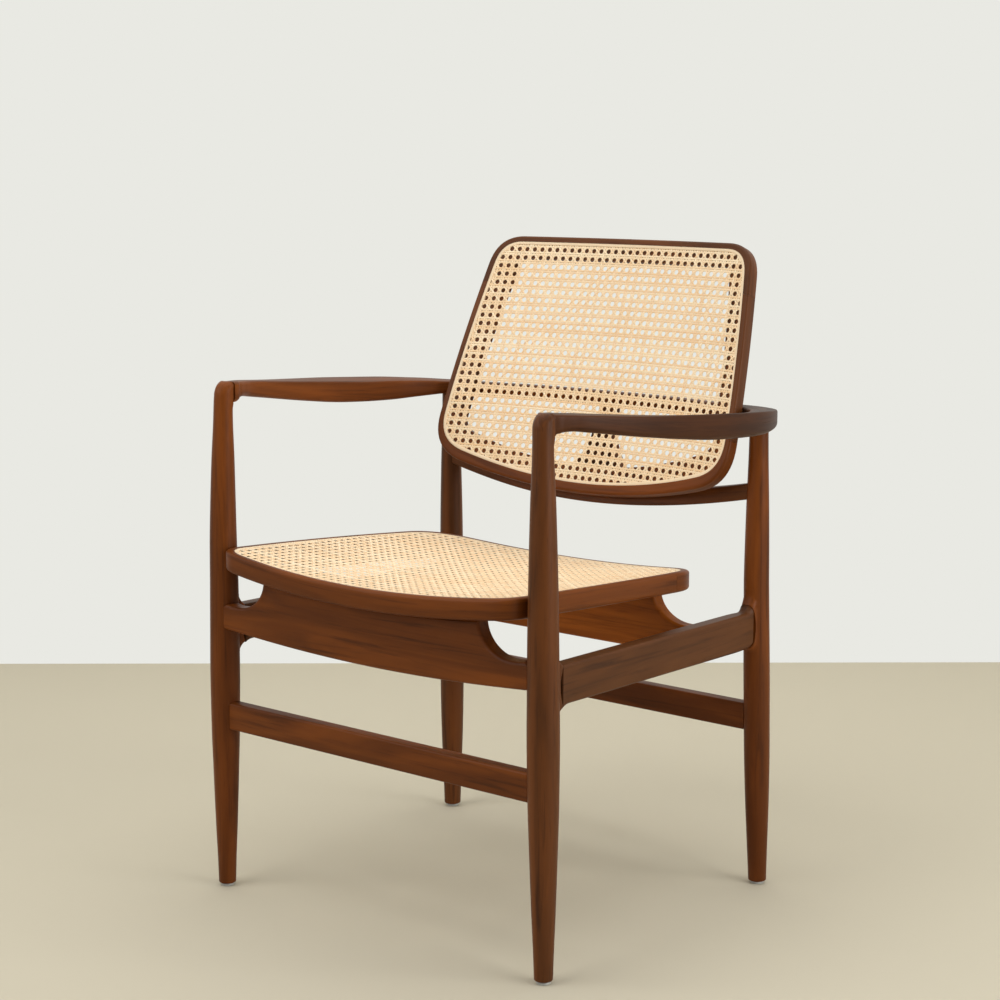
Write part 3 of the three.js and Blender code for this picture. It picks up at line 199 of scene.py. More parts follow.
# %% Outlines
def outline(corners, bows, trims, edge_shares, turn_steps=12):
    """Closed outline: a(1-t)^2 + 2c t(1-t) + b t^2 on each edge, with c twice the bow out from its middle."""
    corners = np.asarray(corners, float)
    edges = []
    for i, start in enumerate(corners):
        end = corners[(i + 1) % len(corners)]
        length = np.linalg.norm(end - start)
        out = np.array([end[1] - start[1], start[0] - end[0]]) / length
        control = (start + end) / 2 + 2 * bows[i] * out
        first = trims[i] / length
        last = 1 - trims[(i + 1) % len(corners)] / length
        t = (first + (last - first) * np.asarray(edge_shares[i]))[:, None]
        points = start * (1 - t) ** 2 + 2 * control * t * (1 - t) + end * t**2
        way = (1 - t) * (control - start) + t * (end - control)
        edges.append((points, way[0], way[-1]))
    parts = []
    for i, (points, _, leaving) in enumerate(edges):
        following, arriving, _ = edges[(i + 1) % len(edges)]
        a, b = points[-1], following[0]
        reach = ((b - a)[0] * arriving[1] - (b - a)[1] * arriving[0])
        reach /= leaving[0] * arriving[1] - leaving[1] * arriving[0]
        peak = a + leaving * reach
        t = (np.arange(turn_steps) / turn_steps)[1:, None]
        parts += [points, a * (1 - t) ** 2 + 2 * peak * t * (1 - t) + b * t**2]
    return np.concatenate(parts)


EDGE_STEPS = 25
even = np.linspace(0, 1, EDGE_STEPS)


def joint_shares(first, last):
    """Shares along an edge with a point exactly at two joints, spaced evenly between."""
    parts = np.linspace(0, first, 5), np.linspace(first, last, 17)[1:], np.linspace(last, 1, 5)[1:]
    return np.concatenate(parts)


def cut_shares(trims, slant, across, joints):
    """Shares for the four edges of a rim: both sides get a point at each of two joints (distances along)."""
    length = np.hypot(slant, across)
    first, last = trims[1] / length, 1 - trims[2] / length
    cuts = (joints / slant - first) / (last - first)
    return [even, joint_shares(*cuts), even, joint_shares(*(1 - cuts[::-1]))]

print("points on an edge", EDGE_STEPS, len(joint_shares(0.2, 0.8)))

# %% [markdown]
# ## The seat's rim
# The seat is a trapezium, wider in front, with all four edges bowed and its corners rounded. Its surface is
# dished from side to side and falls to the rear. A lattice could bend a flat frame to that dish. Here the
# height is a formula of the place, so boards, caning, strip and the aprons below all follow the same dish.

# %% Seat
SEAT_FRONT_HALF, SEAT_REAR_HALF = 238 * MM, 221.5 * MM
SEAT_FRONT, SEAT_REAR = FRONT_Y - 28.5 * MM, FRONT_Y + 361 * MM
# Bows of the front, the sides and the rear, and how far from each corner its curve begins
SEAT_BOWS = np.array([13, 8, 26, 8]) * MM
SEAT_TRIMS = np.array([30, 30, 52, 52]) * MM
SEAT_HEIGHT, SEAT_FALL, SEAT_DISH = 431 * MM, 0.064, 16.5 * MM
SEAT_THICK, SEAT_BORDER = 25.8 * MM, 7 * MM
SEAT_JOINTS = FRONT_Y + np.array([30, 300]) * MM
# Widths of the front board and of the side boards
SEAT_BOARDS = np.array([54, 46]) * MM
SEAT_REAR_LINE = FRONT_Y + 314 * MM
seat_edges = cut_shares(SEAT_TRIMS, SEAT_REAR - SEAT_FRONT, SEAT_FRONT_HALF - SEAT_REAR_HALF,
                        SEAT_JOINTS - SEAT_FRONT)


def seat_top(x, y):
    """Height of the rim: it falls to the rear and rises with the square of the distance from the middle."""
    return SEAT_HEIGHT - SEAT_FALL * (y - FRONT_Y) + SEAT_DISH * (x / SEAT_FRONT_HALF) ** 2


def seat_surface(flat, depth):
    """Places (x, y) set under the seat's surface by a depth."""
    return np.stack([flat[..., 0], flat[..., 1], seat_top(flat[..., 0], flat[..., 1]) - depth], axis=-1)


def seat_outline(grow=0.0):
    """Rim of the seat, grown outwards by an amount."""
    front, rear = SEAT_FRONT_HALF + grow, SEAT_REAR_HALF + grow
    near, far = SEAT_FRONT - grow, SEAT_REAR + grow
    corners = [(-front, near), (front, near), (rear, far), (-rear, far)]
    return outline(corners, SEAT_BOWS, SEAT_TRIMS, seat_edges)


def seat_inner():
    """Opening of the seat frame under the caning."""
    front = SEAT_FRONT_HALF - SEAT_BOARDS[1]
    rear = SEAT_REAR_HALF - SEAT_BOARDS[1]
    near = SEAT_FRONT - SEAT_BOWS[0] + SEAT_BOARDS[0]
    corners = [(-front, near), (front, near), (rear, SEAT_REAR_LINE), (-rear, SEAT_REAR_LINE)]
    return outline(corners, [0, SEAT_BOWS[1], 0, SEAT_BOWS[1]], SEAT_TRIMS[:1].repeat(4), seat_edges)

print("seat outline", seat_outline().shape)

# %% [markdown]
# ## The back panel's rim
# The back is a second trapezium that leans back and is hollow from side to side. It could be drawn flat and
# then turned. Here one function sets each place across and up on the leaning, hollow sheet, which keeps the
# outline flat and easy to read, and measures depths square to the panel.

# %% Back panel
BACK_LEAN = math.radians(19.2)
BACK_FOOT = np.array([FRONT_Y + 395 * MM, 505 * MM])
BACK_HOLLOW = 26.8 * MM
BACK_LOWER_HALF, BACK_UPPER_HALF = 235 * MM, 201 * MM
BACK_LOWER, BACK_UPPER = 40.4 * MM, 326.5 * MM
BACK_BOWS = np.array([42, 5, 0, 5]) * MM
BACK_TRIMS = np.array([41, 41, 31.5, 31.5]) * MM
BACK_THICK = 20 * MM
# Wood outside the caning at the sides, the top and the bottom
BACK_BORDERS = np.array([8.5, 8, 12]) * MM
BACK_BOARD = 24 * MM
BACK_JOINTS = np.array([84, 268]) * MM

back_edges = cut_shares(BACK_TRIMS, BACK_UPPER - BACK_LOWER, BACK_LOWER_HALF - BACK_UPPER_HALF,
                        BACK_JOINTS - BACK_LOWER)


def back_surface(flat, depth):
    """Places (across, up) on the leaning panel, set behind its hollow front by a depth."""
    s, t = flat[..., 0], flat[..., 1]
    across, up = math.sin(BACK_LEAN), math.cos(BACK_LEAN)
    y = BACK_FOOT[0] + t * across - BACK_HOLLOW * (s / BACK_LOWER_HALF) ** 2 + depth * up
    return np.stack([s, y, BACK_FOOT[1] + t * up - depth * across], axis=-1)


def back_outline(grow=0.0, borders=(0, 0, 0)):
    """Edge of the back's caning, grown evenly and then by a border at the sides, the top and the bottom."""
    side, top, bottom = (grow + border for border in borders)
    lower, upper = BACK_LOWER_HALF + side, BACK_UPPER_HALF + side
    low, high = BACK_LOWER - bottom, BACK_UPPER + top
    corners = [(-lower, low), (lower, low), (upper, high), (-upper, high)]
    return outline(corners, BACK_BOWS, BACK_TRIMS + side, back_edges)


print("back outline", back_outline().shape)

# %% [markdown]
# ## Frames of the seat and the back
# Each frame is four boards. In section a board is a rounded rail with a step for the caning and a groove for
# its strip. A curve with a bevel profile could carry that section too, but it would twist at the corners.
# Here each point of the section is a loop inside the rim, so a board is that bundle of loops between two
# joints, and its ends are the butt joints.

# %% Frame boards
# Width and depth of the groove for the strip
GROOVE = np.array([4.2, 3.8]) * MM
CANE_THICK = 1.8 * MM
SEAT_ROUND, BACK_ROUND, LIP = np.array([4.5, 4, 0.5]) * MM
TURN = np.linspace(0, math.pi / 2, 6)


def board_loops(edge_at, inner, surface, thick, border, radius):
    """Closed section of a frame as loops: over the rounded rim, down groove and step, and back below."""
    inward = [(radius * (1 - math.sin(a)), thick - radius * (1 - math.cos(a))) for a in TURN]
    inward += [(radius * (1 - math.cos(a)), radius * (1 - math.sin(a))) for a in TURN]
    loops = [surface(edge_at(-d), depth) for d, depth in inward]
    for d, depth in [(-LIP, 0), (-LIP * 0.3, LIP * 0.3), (0, LIP), (0, GROOVE[1] + CLEAR)]:
        loops.append(surface(border(d), depth))
    wide = GROOVE[0] + 2 * CLEAR
    step = CANE_THICK + 2 * CLEAR
    loops += [surface(border(-wide), GROOVE[1] + CLEAR), surface(border(-wide), step)]
    loops += [surface(inner, step), surface(inner, thick)]
    return np.stack(loops)


def board_piece(name, loops, first, last, seed):
    """One board: the loops from joint to joint, a hair shorter at both ends, with its grain along them."""
    n = loops.shape[1]
    index = np.arange(first, last + 1 if last > first else last + 1 + n) % n
    rings = loops[:, index].transpose(1, 0, 2).copy()
    for end, inside in ((0, 1), (-1, -2)):
        way = unit(rings[inside] - rings[end])
        rings[end] += way * CLEAR / 2
    middle = rings.mean(axis=1)
    across = rings - middle[:, None]
    side = np.linalg.norm(rings - rings[:, :1], axis=-1)
    along = np.broadcast_to(run_lengths(middle)[:, None], side.shape)
    grain = np.stack([side, across[..., 2] * 0.7 + across[..., 1] * 0.3, along], axis=-1)
    return skin(name, rings, grain + seed)


def find_corner(points, x_sign, line):
    """Index of the point on one side of the middle whose second place is nearest a line."""
    score = np.where(points[:, 0] * x_sign > 0, np.abs(points[:, 1] - line), np.inf)
    return int(np.argmin(score))


def frame_boards(prefix, ends, loops, rim, joints):
    """Four boards round a rim whose joints lie at two places: front or lower, right, rear or upper, left."""
    cuts = [find_corner(rim, side, joints[k]) for side, k in ((RIGHT, 0), (RIGHT, 1), (LEFT, 1), (LEFT, 0))]
    made = []
    for k, place in enumerate(("side_right", ends[1], "side_left", ends[0])):
        name = f"{prefix}_{place}"
        board = board_piece(name + "_wood", loops, cuts[k], cuts[(k + 1) % 4], 0.37 * (k + 1))
        made.append((name, board))
    return made


def seat_border(d):
    """Rim of the seat's caning, grown outwards by an amount."""
    return seat_outline(d - SEAT_BORDER)


seat_loops = board_loops(seat_outline, seat_inner(), seat_surface, SEAT_THICK, seat_border, SEAT_ROUND)
back_loops = board_loops(lambda d: back_outline(d, BACK_BORDERS), back_outline(-BACK_BOARD), back_surface,
                         BACK_THICK, back_outline, BACK_ROUND)
wood_pieces = frame_boards("seat_frame", ("front", "rear"), seat_loops, seat_outline(), SEAT_JOINTS)
wood_pieces += frame_boards("back_frame", ("lower", "upper"), back_loops, back_outline(), BACK_JOINTS)
print("frame boards", [name for name, _ in wood_pieces])

# %% [markdown]
# ## Legs
# A leg is turned on a lathe: its radius is a smooth curve of height, widest below the seat. A turned piece
# could be a curve spun by a Screw modifier. Here the radius is read from a table of shares instead, because
# the rails and aprons need the same radius to end exactly on the leg. A front leg leans in a little under the
# arm.

# %% Leg sizes
RAIL_THICK, RAIL_HEIGHT, RAIL_INSET = np.array([20, 46.8, 1]) * MM
RAIL_FRONT_TOP, RAIL_FALL = 368.4 * MM, 6.2 * MM
FRONT_WIDTH, REAR_WIDTH = 37.8 * MM, 33.6 * MM
FRONT_TOP = 654 * MM
LEAN_FROM, TOP_LEAN = 450 * MM, np.array([-3.2, 3]) * MM
REAR_TOP = float(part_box("back_leg_right")[1][2])
GLIDE_HEIGHT = 3.5 * MM
FOOT = GLIDE_HEIGHT + CLEAR
# Width at shares of the height, as a share of the greatest width
front_width_shares = [
    (0, 0.58), (0.05, 0.635), (0.115, 0.73), (0.185, 0.815), (0.24, 0.875), (0.3, 0.94), (0.37, 0.98),
    (0.43, 1), (0.51, 0.98), (0.61, 0.95), (0.7, 0.9), (0.785, 0.83), (0.85, 0.765), (0.93, 0.65), (1, 0.63)]
rear_width_shares = [
    (0, 0.69), (0.03, 0.72), (0.1, 0.81), (0.17, 0.895), (0.275, 0.975), (0.37, 0.99), (0.46, 1),
    (0.6, 0.97), (0.7, 0.94), (0.83, 0.85), (0.93, 0.745), (1, 0.7)]


def leg_axis(z, at_rear):
    """Place of the right leg's axis: it runs out below the knee, and a front leg leans in at its top."""
    out = np.maximum(0, 1 - z / KNEE)[..., None]
    if at_rear:
        return REAR_AXIS + REAR_SPLAY * out
    lean = np.clip((z - LEAN_FROM) / (FRONT_TOP - LEAN_FROM), 0, 1)[..., None] ** 1.3
    return FRONT_AXIS + FRONT_SPLAY * out + TOP_LEAN * lean


def leg_radius(z, at_rear):
    """Turned radius at heights: half the greatest width times the share read from its table."""
    front, rear = (front_width_shares, FRONT_WIDTH, FRONT_TOP), (rear_width_shares, REAR_WIDTH, REAR_TOP)
    shares, width, top = rear if at_rear else front
    return smooth_rows(shares, ((z - FOOT) / (top - FOOT)).ravel())[:, 0].reshape(z.shape) * width / 2


def rail_top(y):
    """Height of the side rails' upper edge, which falls a little to the rear."""
    return RAIL_FRONT_TOP - RAIL_FALL * (y - FRONT_Y) / PITCH


print("radius of the front leg below the seat", leg_radius(np.array([RAIL_FRONT_TOP]), False).round(4))

# %% [markdown]
# ## Ears of the legs
# Towards the side rail each leg grows an ear, so that the rail seems to flow out of the leg. A carver leaves
# that wood standing and blends it by hand; in Blender one could join two shapes and smooth the seam. Here the
# ear is a height over the leg's axis at each place across it. It is whole beside the joint, follows an arc of
# an ellipse back into the round leg above and below, and its edges are sunk by a quarter circle.

# %% Ears
# How far the ear stands out, the hollow of its end, its height over and under the joint, and how much taller
# the joint is than the rail above and below it
FRONT_EAR = np.array([7.4, 6, 15, 10.6, 0, 3.2]) * MM
REAR_EAR = np.array([5.4, 7, 19.4, 7, 9, 0]) * MM
# Share of a quarter ellipse that the ear's upper and lower curve take, and the round of its edges
FRONT_CURVE, REAR_CURVE = (0.75, 0.77), (0.683, 0.9)
EAR_ROUND = {False: 3.5 * MM, True: 9.3 * MM}


def ear_span(at_rear):
    """Heights of the joint's upper and lower end."""
    lift, sink = (REAR_EAR if at_rear else FRONT_EAR)[4:]
    top = rail_top(REAR_Y if at_rear else FRONT_Y)
    return top + lift, top - RAIL_HEIGHT - sink


def ear_left(z, at_rear):
    """How much of the ear is left at heights: all at the joint, then an arc of an ellipse to nothing."""
    rise, drop = (REAR_EAR if at_rear else FRONT_EAR)[2:4]
    high, low = ear_span(at_rear)
    left = np.ones(np.shape(z))
    curves = REAR_CURVE if at_rear else FRONT_CURVE
    for past, arc in (((z - high) / rise, curves[0]), ((low - z) / drop, curves[1])):
        nearby = 1 - np.clip(past, 0, 1)
        left = left * (1 - np.sqrt(1 - (arc * nearby) ** 2)) / (1 - math.sqrt(1 - arc**2))
    return left


def ear_surface(u, z, at_rear, shift=0.0):
    """Distance from the axis to the ear at places across it: a saddle that melts into the round leg."""
    reach, hollow = (REAR_EAR if at_rear else FRONT_EAR)[:2]
    high, low = ear_span(at_rear)
    radius = EAR_ROUND[at_rear]
    past = np.clip((np.abs(u) - RAIL_THICK / 2 + radius) / radius, 0, 1)
    sunk = radius * (1 - np.sqrt(1 - past**2))
    left = np.minimum(ear_left(z + sunk, at_rear), ear_left(z - sunk, at_rear))
    share = np.clip((high - z) / (high - low), 0, 1)
    full = (REAR_WIDTH if at_rear else FRONT_WIDTH) / 2 + reach - hollow * 4 * share * (1 - share)
    circle = np.sqrt(np.maximum(leg_radius(z, at_rear) ** 2 - (u - shift) ** 2, 0))
    return circle + (full - circle) * left


def leg_end(u, z, at_rear, side):
    """Distance from the axis to the leg's face towards the rail, at places across the rail and heights."""
    circle = np.sqrt(leg_radius(z, at_rear) ** 2 - (u - side * RAIL_INSET) ** 2)
    return np.maximum(ear_surface(u, z, at_rear, side * RAIL_INSET), circle)


print("heights of the ears' joints", np.round([ear_span(False), ear_span(True)], 4).tolist())

# %% [markdown]
# ## Rings of a leg
# A ring holds one distance from the axis for each angle. Where the ear is, that distance is the longest one
# along a ray that is still inside the ear. Near the arm a front leg squares up to a shoulder, the arm's own
# width, and its back is cut flat, so that arm and leg meet face to face. A boolean cut would do it too, but
# leaves ragged faces.

# %% Rings
# Angles from the rail's side: closer together at the corners of the ear and of the shoulder
half_turn = np.unique(np.concatenate([np.arange(0, 181, 6), np.arange(16, 34, 1.0), np.arange(50, 59, 1.5),
                                      [125, 127]]))
around = np.radians(np.concatenate([half_turn, 360 - half_turn[1:-1][::-1]]))
# Places along a ray at which the ear is tried
ray = np.linspace(8 * MM, 36 * MM, 700)
SEAM, SEAM_DEEP = 8.8 * MM, 25.9 * MM
# Half width and reach of the shoulder, how far below the top it begins, and the height over which it grows
SHOULDER_HALF, SHOULDER_REACH, SHOULDER_LOW, SHOULDER_RISE = np.array([12.5, 7, 40, 18]) * MM


def soft_greater(a, b, power):
    """The greater of two lengths with a rounded change from one to the other: a(1 + (b/a)^n)^(1/n)."""
    return a * (1 + (b / a) ** power) ** (1 / power)


def shoulder(full, radius, z):
    """Top towards the arm: it turns to a rounded rectangle by a smooth step, and is cut flat at the seam."""
    facing, power = np.maximum(np.cos(around), 1e-6), 30.0
    sides = (facing / SHOULDER_REACH) ** power + (np.abs(np.sin(around)) / SHOULDER_HALF) ** power
    square = soft_greater(radius, np.where(np.cos(around) > 0, sides ** (-1 / power), 0), 24)
    share = np.clip((z - FRONT_TOP + SHOULDER_LOW) / SHOULDER_RISE, 0, 1)
    full = full + (square - full) * share**2 * (3 - 2 * share)
    flat_cut = (SEAM - leg_axis(z[:, 0], False)[:, 1:] + FRONT_Y) / facing
    return np.where((z > FRONT_TOP - SEAM_DEEP) & (np.cos(around) > 0), np.minimum(full, flat_cut), full)


def leg_rings(z, at_rear, side):
    """Rings of a leg: at each angle, the farthest distance still inside the turned leg or the ear."""
    toward = -1 if at_rear else 1
    radius = leg_radius(z, at_rear)[:, None]
    full = np.broadcast_to(radius, (len(z), len(around))).copy()
    high, low = ear_span(at_rear)
    rise, drop = (REAR_EAR if at_rear else FRONT_EAR)[2:4]
    rows = np.flatnonzero((z > low - drop) & (z < high + rise))
    facing = np.flatnonzero(np.cos(around) > 0.3)
    across, ahead = ray * np.sin(around[facing])[:, None], ray * np.cos(around[facing])[:, None]
    inside = ahead < ear_surface(across, z[rows][:, None, None], at_rear)
    inside &= np.abs(across) < RAIL_THICK / 2
    full[np.ix_(rows, facing)] = soft_greater(radius[rows], (inside * ray).max(axis=-1), 40)
    if not at_rear:
        full = shoulder(full, radius, z[:, None])
    axis = leg_axis(z, at_rear) * np.array([side, 1])
    shift = -side * RAIL_INSET * np.clip((full - radius) / RAIL_INSET, 0, 1) * (z < high + rise)[:, None]
    x = axis[:, :1] + full * np.sin(around) + shift
    y = axis[:, 1:] + toward * full * np.cos(around)
    return np.stack([x, y, np.broadcast_to(z[:, None], x.shape)], axis=-1)


def leg_heights(top, at_rear):
    """Heights of the rings: dense by the side rail, looser elsewhere."""
    high, low = np.array(ear_span(at_rear)) + np.array([22, -15]) * MM
    parts = np.linspace(FOOT, low, 40)[:-1], np.linspace(low, high, 90)[:-1], np.linspace(high, top, 60)
    return np.concatenate(parts)


print("rings of a leg", leg_rings(leg_heights(REAR_TOP, True), True, RIGHT).shape)

# %% [markdown]
# ## Nose and feet
# The front leg's top is the chair's nose: a dome in front that meets the arm's rounded edges at the seam. Its
# upper rings sink towards their outer edge, and the last ones shrink over the top until they close. The foot
# has the small round edge that a turner leaves, made of a few rings that are drawn in.

# %% Nose and feet
SEAM_FLAT, SEAM_ROUND, NOSE_DEEP, NOSE_BEGINS = np.array([8, 4.5, 18, 44]) * MM
# Cosines of the angles where the dome begins and is whole, and the share of the top that it takes at first
DOME_FROM, DOME_WHOLE, DOME_WIDE = 0.4, -0.64, 0.64
FOOT_ROUND = 1.5 * MM
NOSE_RINGS = 25


def nose_drop(shrink, reach):
    """How far the top sinks towards its edge: like the arm's section at the seam, and a dome in front."""
    dome = np.clip((DOME_FROM - np.cos(around)) / (DOME_FROM - DOME_WHOLE), 0, 1)
    wide = DOME_WIDE + (1 - DOME_WIDE) * dome
    beside = (np.abs(np.sin(around)) * reach * shrink - SEAM_FLAT) / SEAM_ROUND
    out = np.where(np.cos(around) > DOME_FROM, beside, (shrink - 1 + wide) / wide)
    deep = SEAM_ROUND + (NOSE_DEEP - SEAM_ROUND) * dome
    return deep * (1 - np.sqrt(1 - np.clip(out, 0, 1) ** 2))


def front_leg(side):
    """Turned front leg with its ear and shoulder, closed by the nose: its last rings shrink over the top."""
    z = leg_heights(FRONT_TOP, False)
    rings = leg_rings(z, False, side)
    centre = leg_axis(np.array([FRONT_TOP]), False)[0] * np.array([side, 1])
    last = rings[-1, :, :2] - centre
    reach = np.linalg.norm(last, axis=-1)
    share = np.clip((rings[..., 2] - FRONT_TOP + NOSE_BEGINS) / NOSE_BEGINS, 0, 1)
    rings[..., 2] -= nose_drop(1.0, reach) * share**2
    shrink = np.cos(np.linspace(0, math.pi / 2 * 0.995, NOSE_RINGS + 1)[1:])[:, None]
    spots = last * shrink[..., None] + centre
    caps = np.concatenate([spots, (FRONT_TOP - nose_drop(shrink, reach))[..., None]], axis=-1)
    return round_foot(np.concatenate([rings, caps]))


def round_foot(rings):
    """Rings with a small rounded edge added under the lowest one: quarter circle inwards."""
    low = rings[0]
    middle = low.mean(axis=0)
    out = np.linalg.norm(low - middle, axis=-1).mean()
    turn = TURN[:-1, None, None]
    extra = middle + (low - middle) * (1 - FOOT_ROUND * (1 - np.sin(turn)) / out)
    extra[..., 2:] += FOOT_ROUND * (1 - np.cos(turn))
    rings = rings.copy()
    rings[0, :, 2] += FOOT_ROUND
    return np.concatenate([extra, rings])


def rear_leg(side):
    """Turned back leg with its ear, ending under the arm."""
    return round_foot(leg_rings(leg_heights(REAR_TOP, True), True, side))


for k, (side_name, side) in enumerate(SIDES):
    for place, make, seed in (("front", front_leg, 1.1), ("back", rear_leg, 3.3)):
        name, rings = f"{place}_leg_{side_name}", make(side)
        wood_pieces.append((name, skin(name + "_wood", rings, straight_grain(rings, seed + k))))
print("legs", [len(obj.data.polygons) for _, obj in wood_pieces[-4:]])

# %% [markdown]
# ## Rails and stretchers
# A rail is a rounded section carried in a straight line, but its ends are not flat: they are hollowed to the
# round legs. A bevelled box pushed into the legs would hide its ends, but its grain would then cross theirs.
# So each point of the section runs from its own start to its own end, worked out where its line meets the
# leg.

# %% Rails
GROOVE_WIDE, GROOVE_DEEP = 0.7 * MM, 1.2 * MM
# How far from the leg a rail's edge begins to sweep, and how much it gains there
REAR_SWEEP, FRONT_SWEEP = np.array([20, 28.4]) * MM, np.array([21, 14]) * MM
SOFTER_FROM = 40 * MM


def eased(count):
    """Shares from nought to one that lie closer together at both ends: half a sine wave."""
    return np.sin(np.linspace(-math.pi / 2, math.pi / 2, count))[:, None] / 2 + 0.5


def lengthwise(name, sections, start, end, place, way, seed):
    """Solid of sections: each point runs from its start to its end, with a groove at both joints."""
    first, last = start(sections) + GROOVE_WIDE, end(sections) - GROOVE_WIDE
    along = first + (last - first) * eased(len(sections))
    size = np.abs(sections).max(axis=1, keepdims=True)
    thin = sections * (1 - GROOVE_DEEP / size)
    low, high = thin[:1], thin[-1:]
    sections = np.concatenate([low, low, sections, high, high])
    along = np.concatenate([start(low) + CLEAR / 3, along[:1], along, along[-1:], end(high) - CLEAR / 3])
    rings = place(sections, along)
    grain = np.stack([sections[..., 0], sections[..., 1], rings @ np.asarray(way, float)], axis=-1)
    return skin(name, rings, straight_grain(grain, seed))


def sweep_by(leg, distance, reach, rise):
    """Quarter ellipse near a leg: nothing at a distance past its reach, the whole rise at the leg itself."""
    near = np.clip(1 - (distance + leg) / reach, 0, 1)
    return rise * (1 - np.sqrt(1 - near**2))


def rail_middle(y):
    """How far out the right side rail's middle is: on the line between the two legs, less its inset."""
    return FRONT_AXIS[0] + (REAR_AXIS[0] - FRONT_AXIS[0]) * (y - FRONT_Y) / PITCH - RAIL_INSET


def side_rail(name, side, seed, steps=81):
    """Side rail along Y. Its top sweeps up by the back leg, and its bottom sweeps down by the front leg."""
    length = PITCH - (FRONT_WIDTH + REAR_WIDTH) / 2 - FRONT_EAR[0] - REAR_EAR[0]
    from_front = eased(steps) * length
    from_rear = length - from_front
    lift = sweep_by(REAR_EAR[0], from_rear, *REAR_SWEEP)
    sink = sweep_by(FRONT_EAR[0], from_front, *FRONT_SWEEP)
    softer = np.clip(1 - from_rear / SOFTER_FROM, 0, 1) ** 2
    soft = EAR_ROUND[False] + (EAR_ROUND[True] - EAR_ROUND[False]) * softer
    sections = rounded_section(RAIL_THICK, RAIL_HEIGHT + lift + sink, soft, soft, 9)
    sections[..., 1] += (lift - sink) / 2

    def level(section, y):
        return rail_top(y) - RAIL_HEIGHT / 2 + section[..., 1]

    def start(section):
        return FRONT_Y + leg_end(section[..., 0], level(section, FRONT_Y), False, side)

    def end(section):
        return REAR_Y - leg_end(section[..., 0], level(section, REAR_Y), True, side)

    def place(section, y):
        return np.stack([side * rail_middle(y) + section[..., 0], y, level(section, y)], axis=-1)

    return lengthwise(name, sections, start, end, place, (0, 1, 0), seed)


def leg_inner(y, z, at_rear):
    """How far out a right leg's inner face is: its axis less the root of radius^2 - offset^2."""
    axis = leg_axis(z, at_rear)
    return axis[..., 0] - np.sqrt(leg_radius(z, at_rear) ** 2 - (y - axis[..., 1]) ** 2)


def cross_piece(name, bottom, at_rear, seed):
    """Stretcher along X: each of its lines ends on the round legs."""
    height, thick, radius = STRETCHER
    sections = np.repeat(rounded_section(thick, height, radius, radius, 8)[None], 30, axis=0)
    middle_z = bottom + height / 2
    middle_y = leg_axis(np.array([middle_z]), at_rear)[0, 1]

    def end(section):
        return leg_inner(middle_y + section[..., 0], middle_z + section[..., 1], at_rear)

    def place(section, x):
        return np.stack([x, middle_y + section[..., 0], middle_z + section[..., 1]], axis=-1)

    return lengthwise(name, sections, lambda section: -end(section), end, place, (1, 0, 0), seed)


# Height, thickness and edge radius, and where the undersides are
STRETCHER = np.array([35, 18, 3]) * MM
FRONT_STRETCHER_BOTTOM, REAR_STRETCHER_BOTTOM = 211 * MM, 203.4 * MM
for k, (side_name, side) in enumerate(SIDES):
    name = f"side_rail_{side_name}"
    wood_pieces.append((name, side_rail(name + "_wood", side, 5.1 + k)))
for name, bottom, at_rear, seed in (("front_stretcher", FRONT_STRETCHER_BOTTOM, False, 7.3),
                                    ("rear_stretcher", REAR_STRETCHER_BOTTOM, True, 8.9)):
    wood_pieces.append((name, cross_piece(name + "_wood", bottom, at_rear, seed)))
print("rails", [len(obj.data.polygons) for _, obj in wood_pieces[-4:]])

# %% [markdown]
# ## Aprons
# An apron is a board on edge, sawn to an outline with two quarter-round scoops, and its edges are rounded
# over. An extruded curve with a bevel comes close, but its ends would not follow the round legs. So the
# outline is worked out once. Rings of it, moved in along its own normals, make the rounded edge, and even
# triangles fill both faces.

# %% Aprons
FRONT_RAISED, REAR_RAISED, SCOOP = np.array([175, 180, 47]) * MM
APRON_THICK, APRON_ROUND, APRON_TIP = np.array([20, 4, 2.5]) * MM
# How far from its ends an apron bends to the face that it meets, and the height over its lower edge to which
# the outline is drawn in on both faces
APRON_FITS, APRON_HEART = np.array([30, 14]) * MM
FRONT_APRON_FACE, REAR_APRON_FACE = FRONT_Y - 14 * MM, FRONT_Y + 318 * MM
FRONT_APRON_BOTTOM, FRONT_APRON_LIFT, FRONT_APRON_TOP = np.array([332, 11.8, 373]) * MM
REAR_APRON_BOTTOM, REAR_APRON_TOP = np.array([318.4, 356.5]) * MM


def seat_under(x, y):
    """Height of the seat frame's underside, with the play below it."""
    return seat_top(x, y) - SEAT_THICK - CLEAR


def apron_outline(half, raised, bottom_at, end_top, y):
    """Outline, counter-clockwise: bottom, end, soft tip, scoop (a quarter ellipse), seat's underside."""
    level = seat_under(raised, y)
    x = np.linspace(-half, half, 61)
    bottom = np.stack([x, bottom_at(x)], axis=-1)
    angle = np.linspace(0, math.pi / 2, 24)
    rise = (level - end_top) * (1 - np.cos(angle))
    scoop = np.stack([raised + SCOOP * (1 - np.sin(angle)), end_top + rise], axis=-1)
    scoop = scoop[(level - scoop[:, 1] > 1.2 * APRON_ROUND) | (angle == angle[-1])]
    tip = np.linspace(half, scoop[0, 0], 14)[:-1]
    share = (tip - scoop[0, 0]) / (half - scoop[0, 0])
    tip = np.stack([tip, end_top + APRON_TIP * (share**2 - share**12)], axis=-1)
    wall = np.linspace(bottom[-1, 1], tip[0, 1], 7)[1:-1]
    wall = np.stack([np.full(len(wall), half), wall], axis=-1)
    across = np.linspace(raised, -raised, 41)[1:-1]
    under = np.stack([across, seat_under(across, y)], axis=-1)
    right = np.concatenate([wall, tip, scoop])
    return np.concatenate([bottom, right, under, right[::-1] * np.array([-1, 1])])


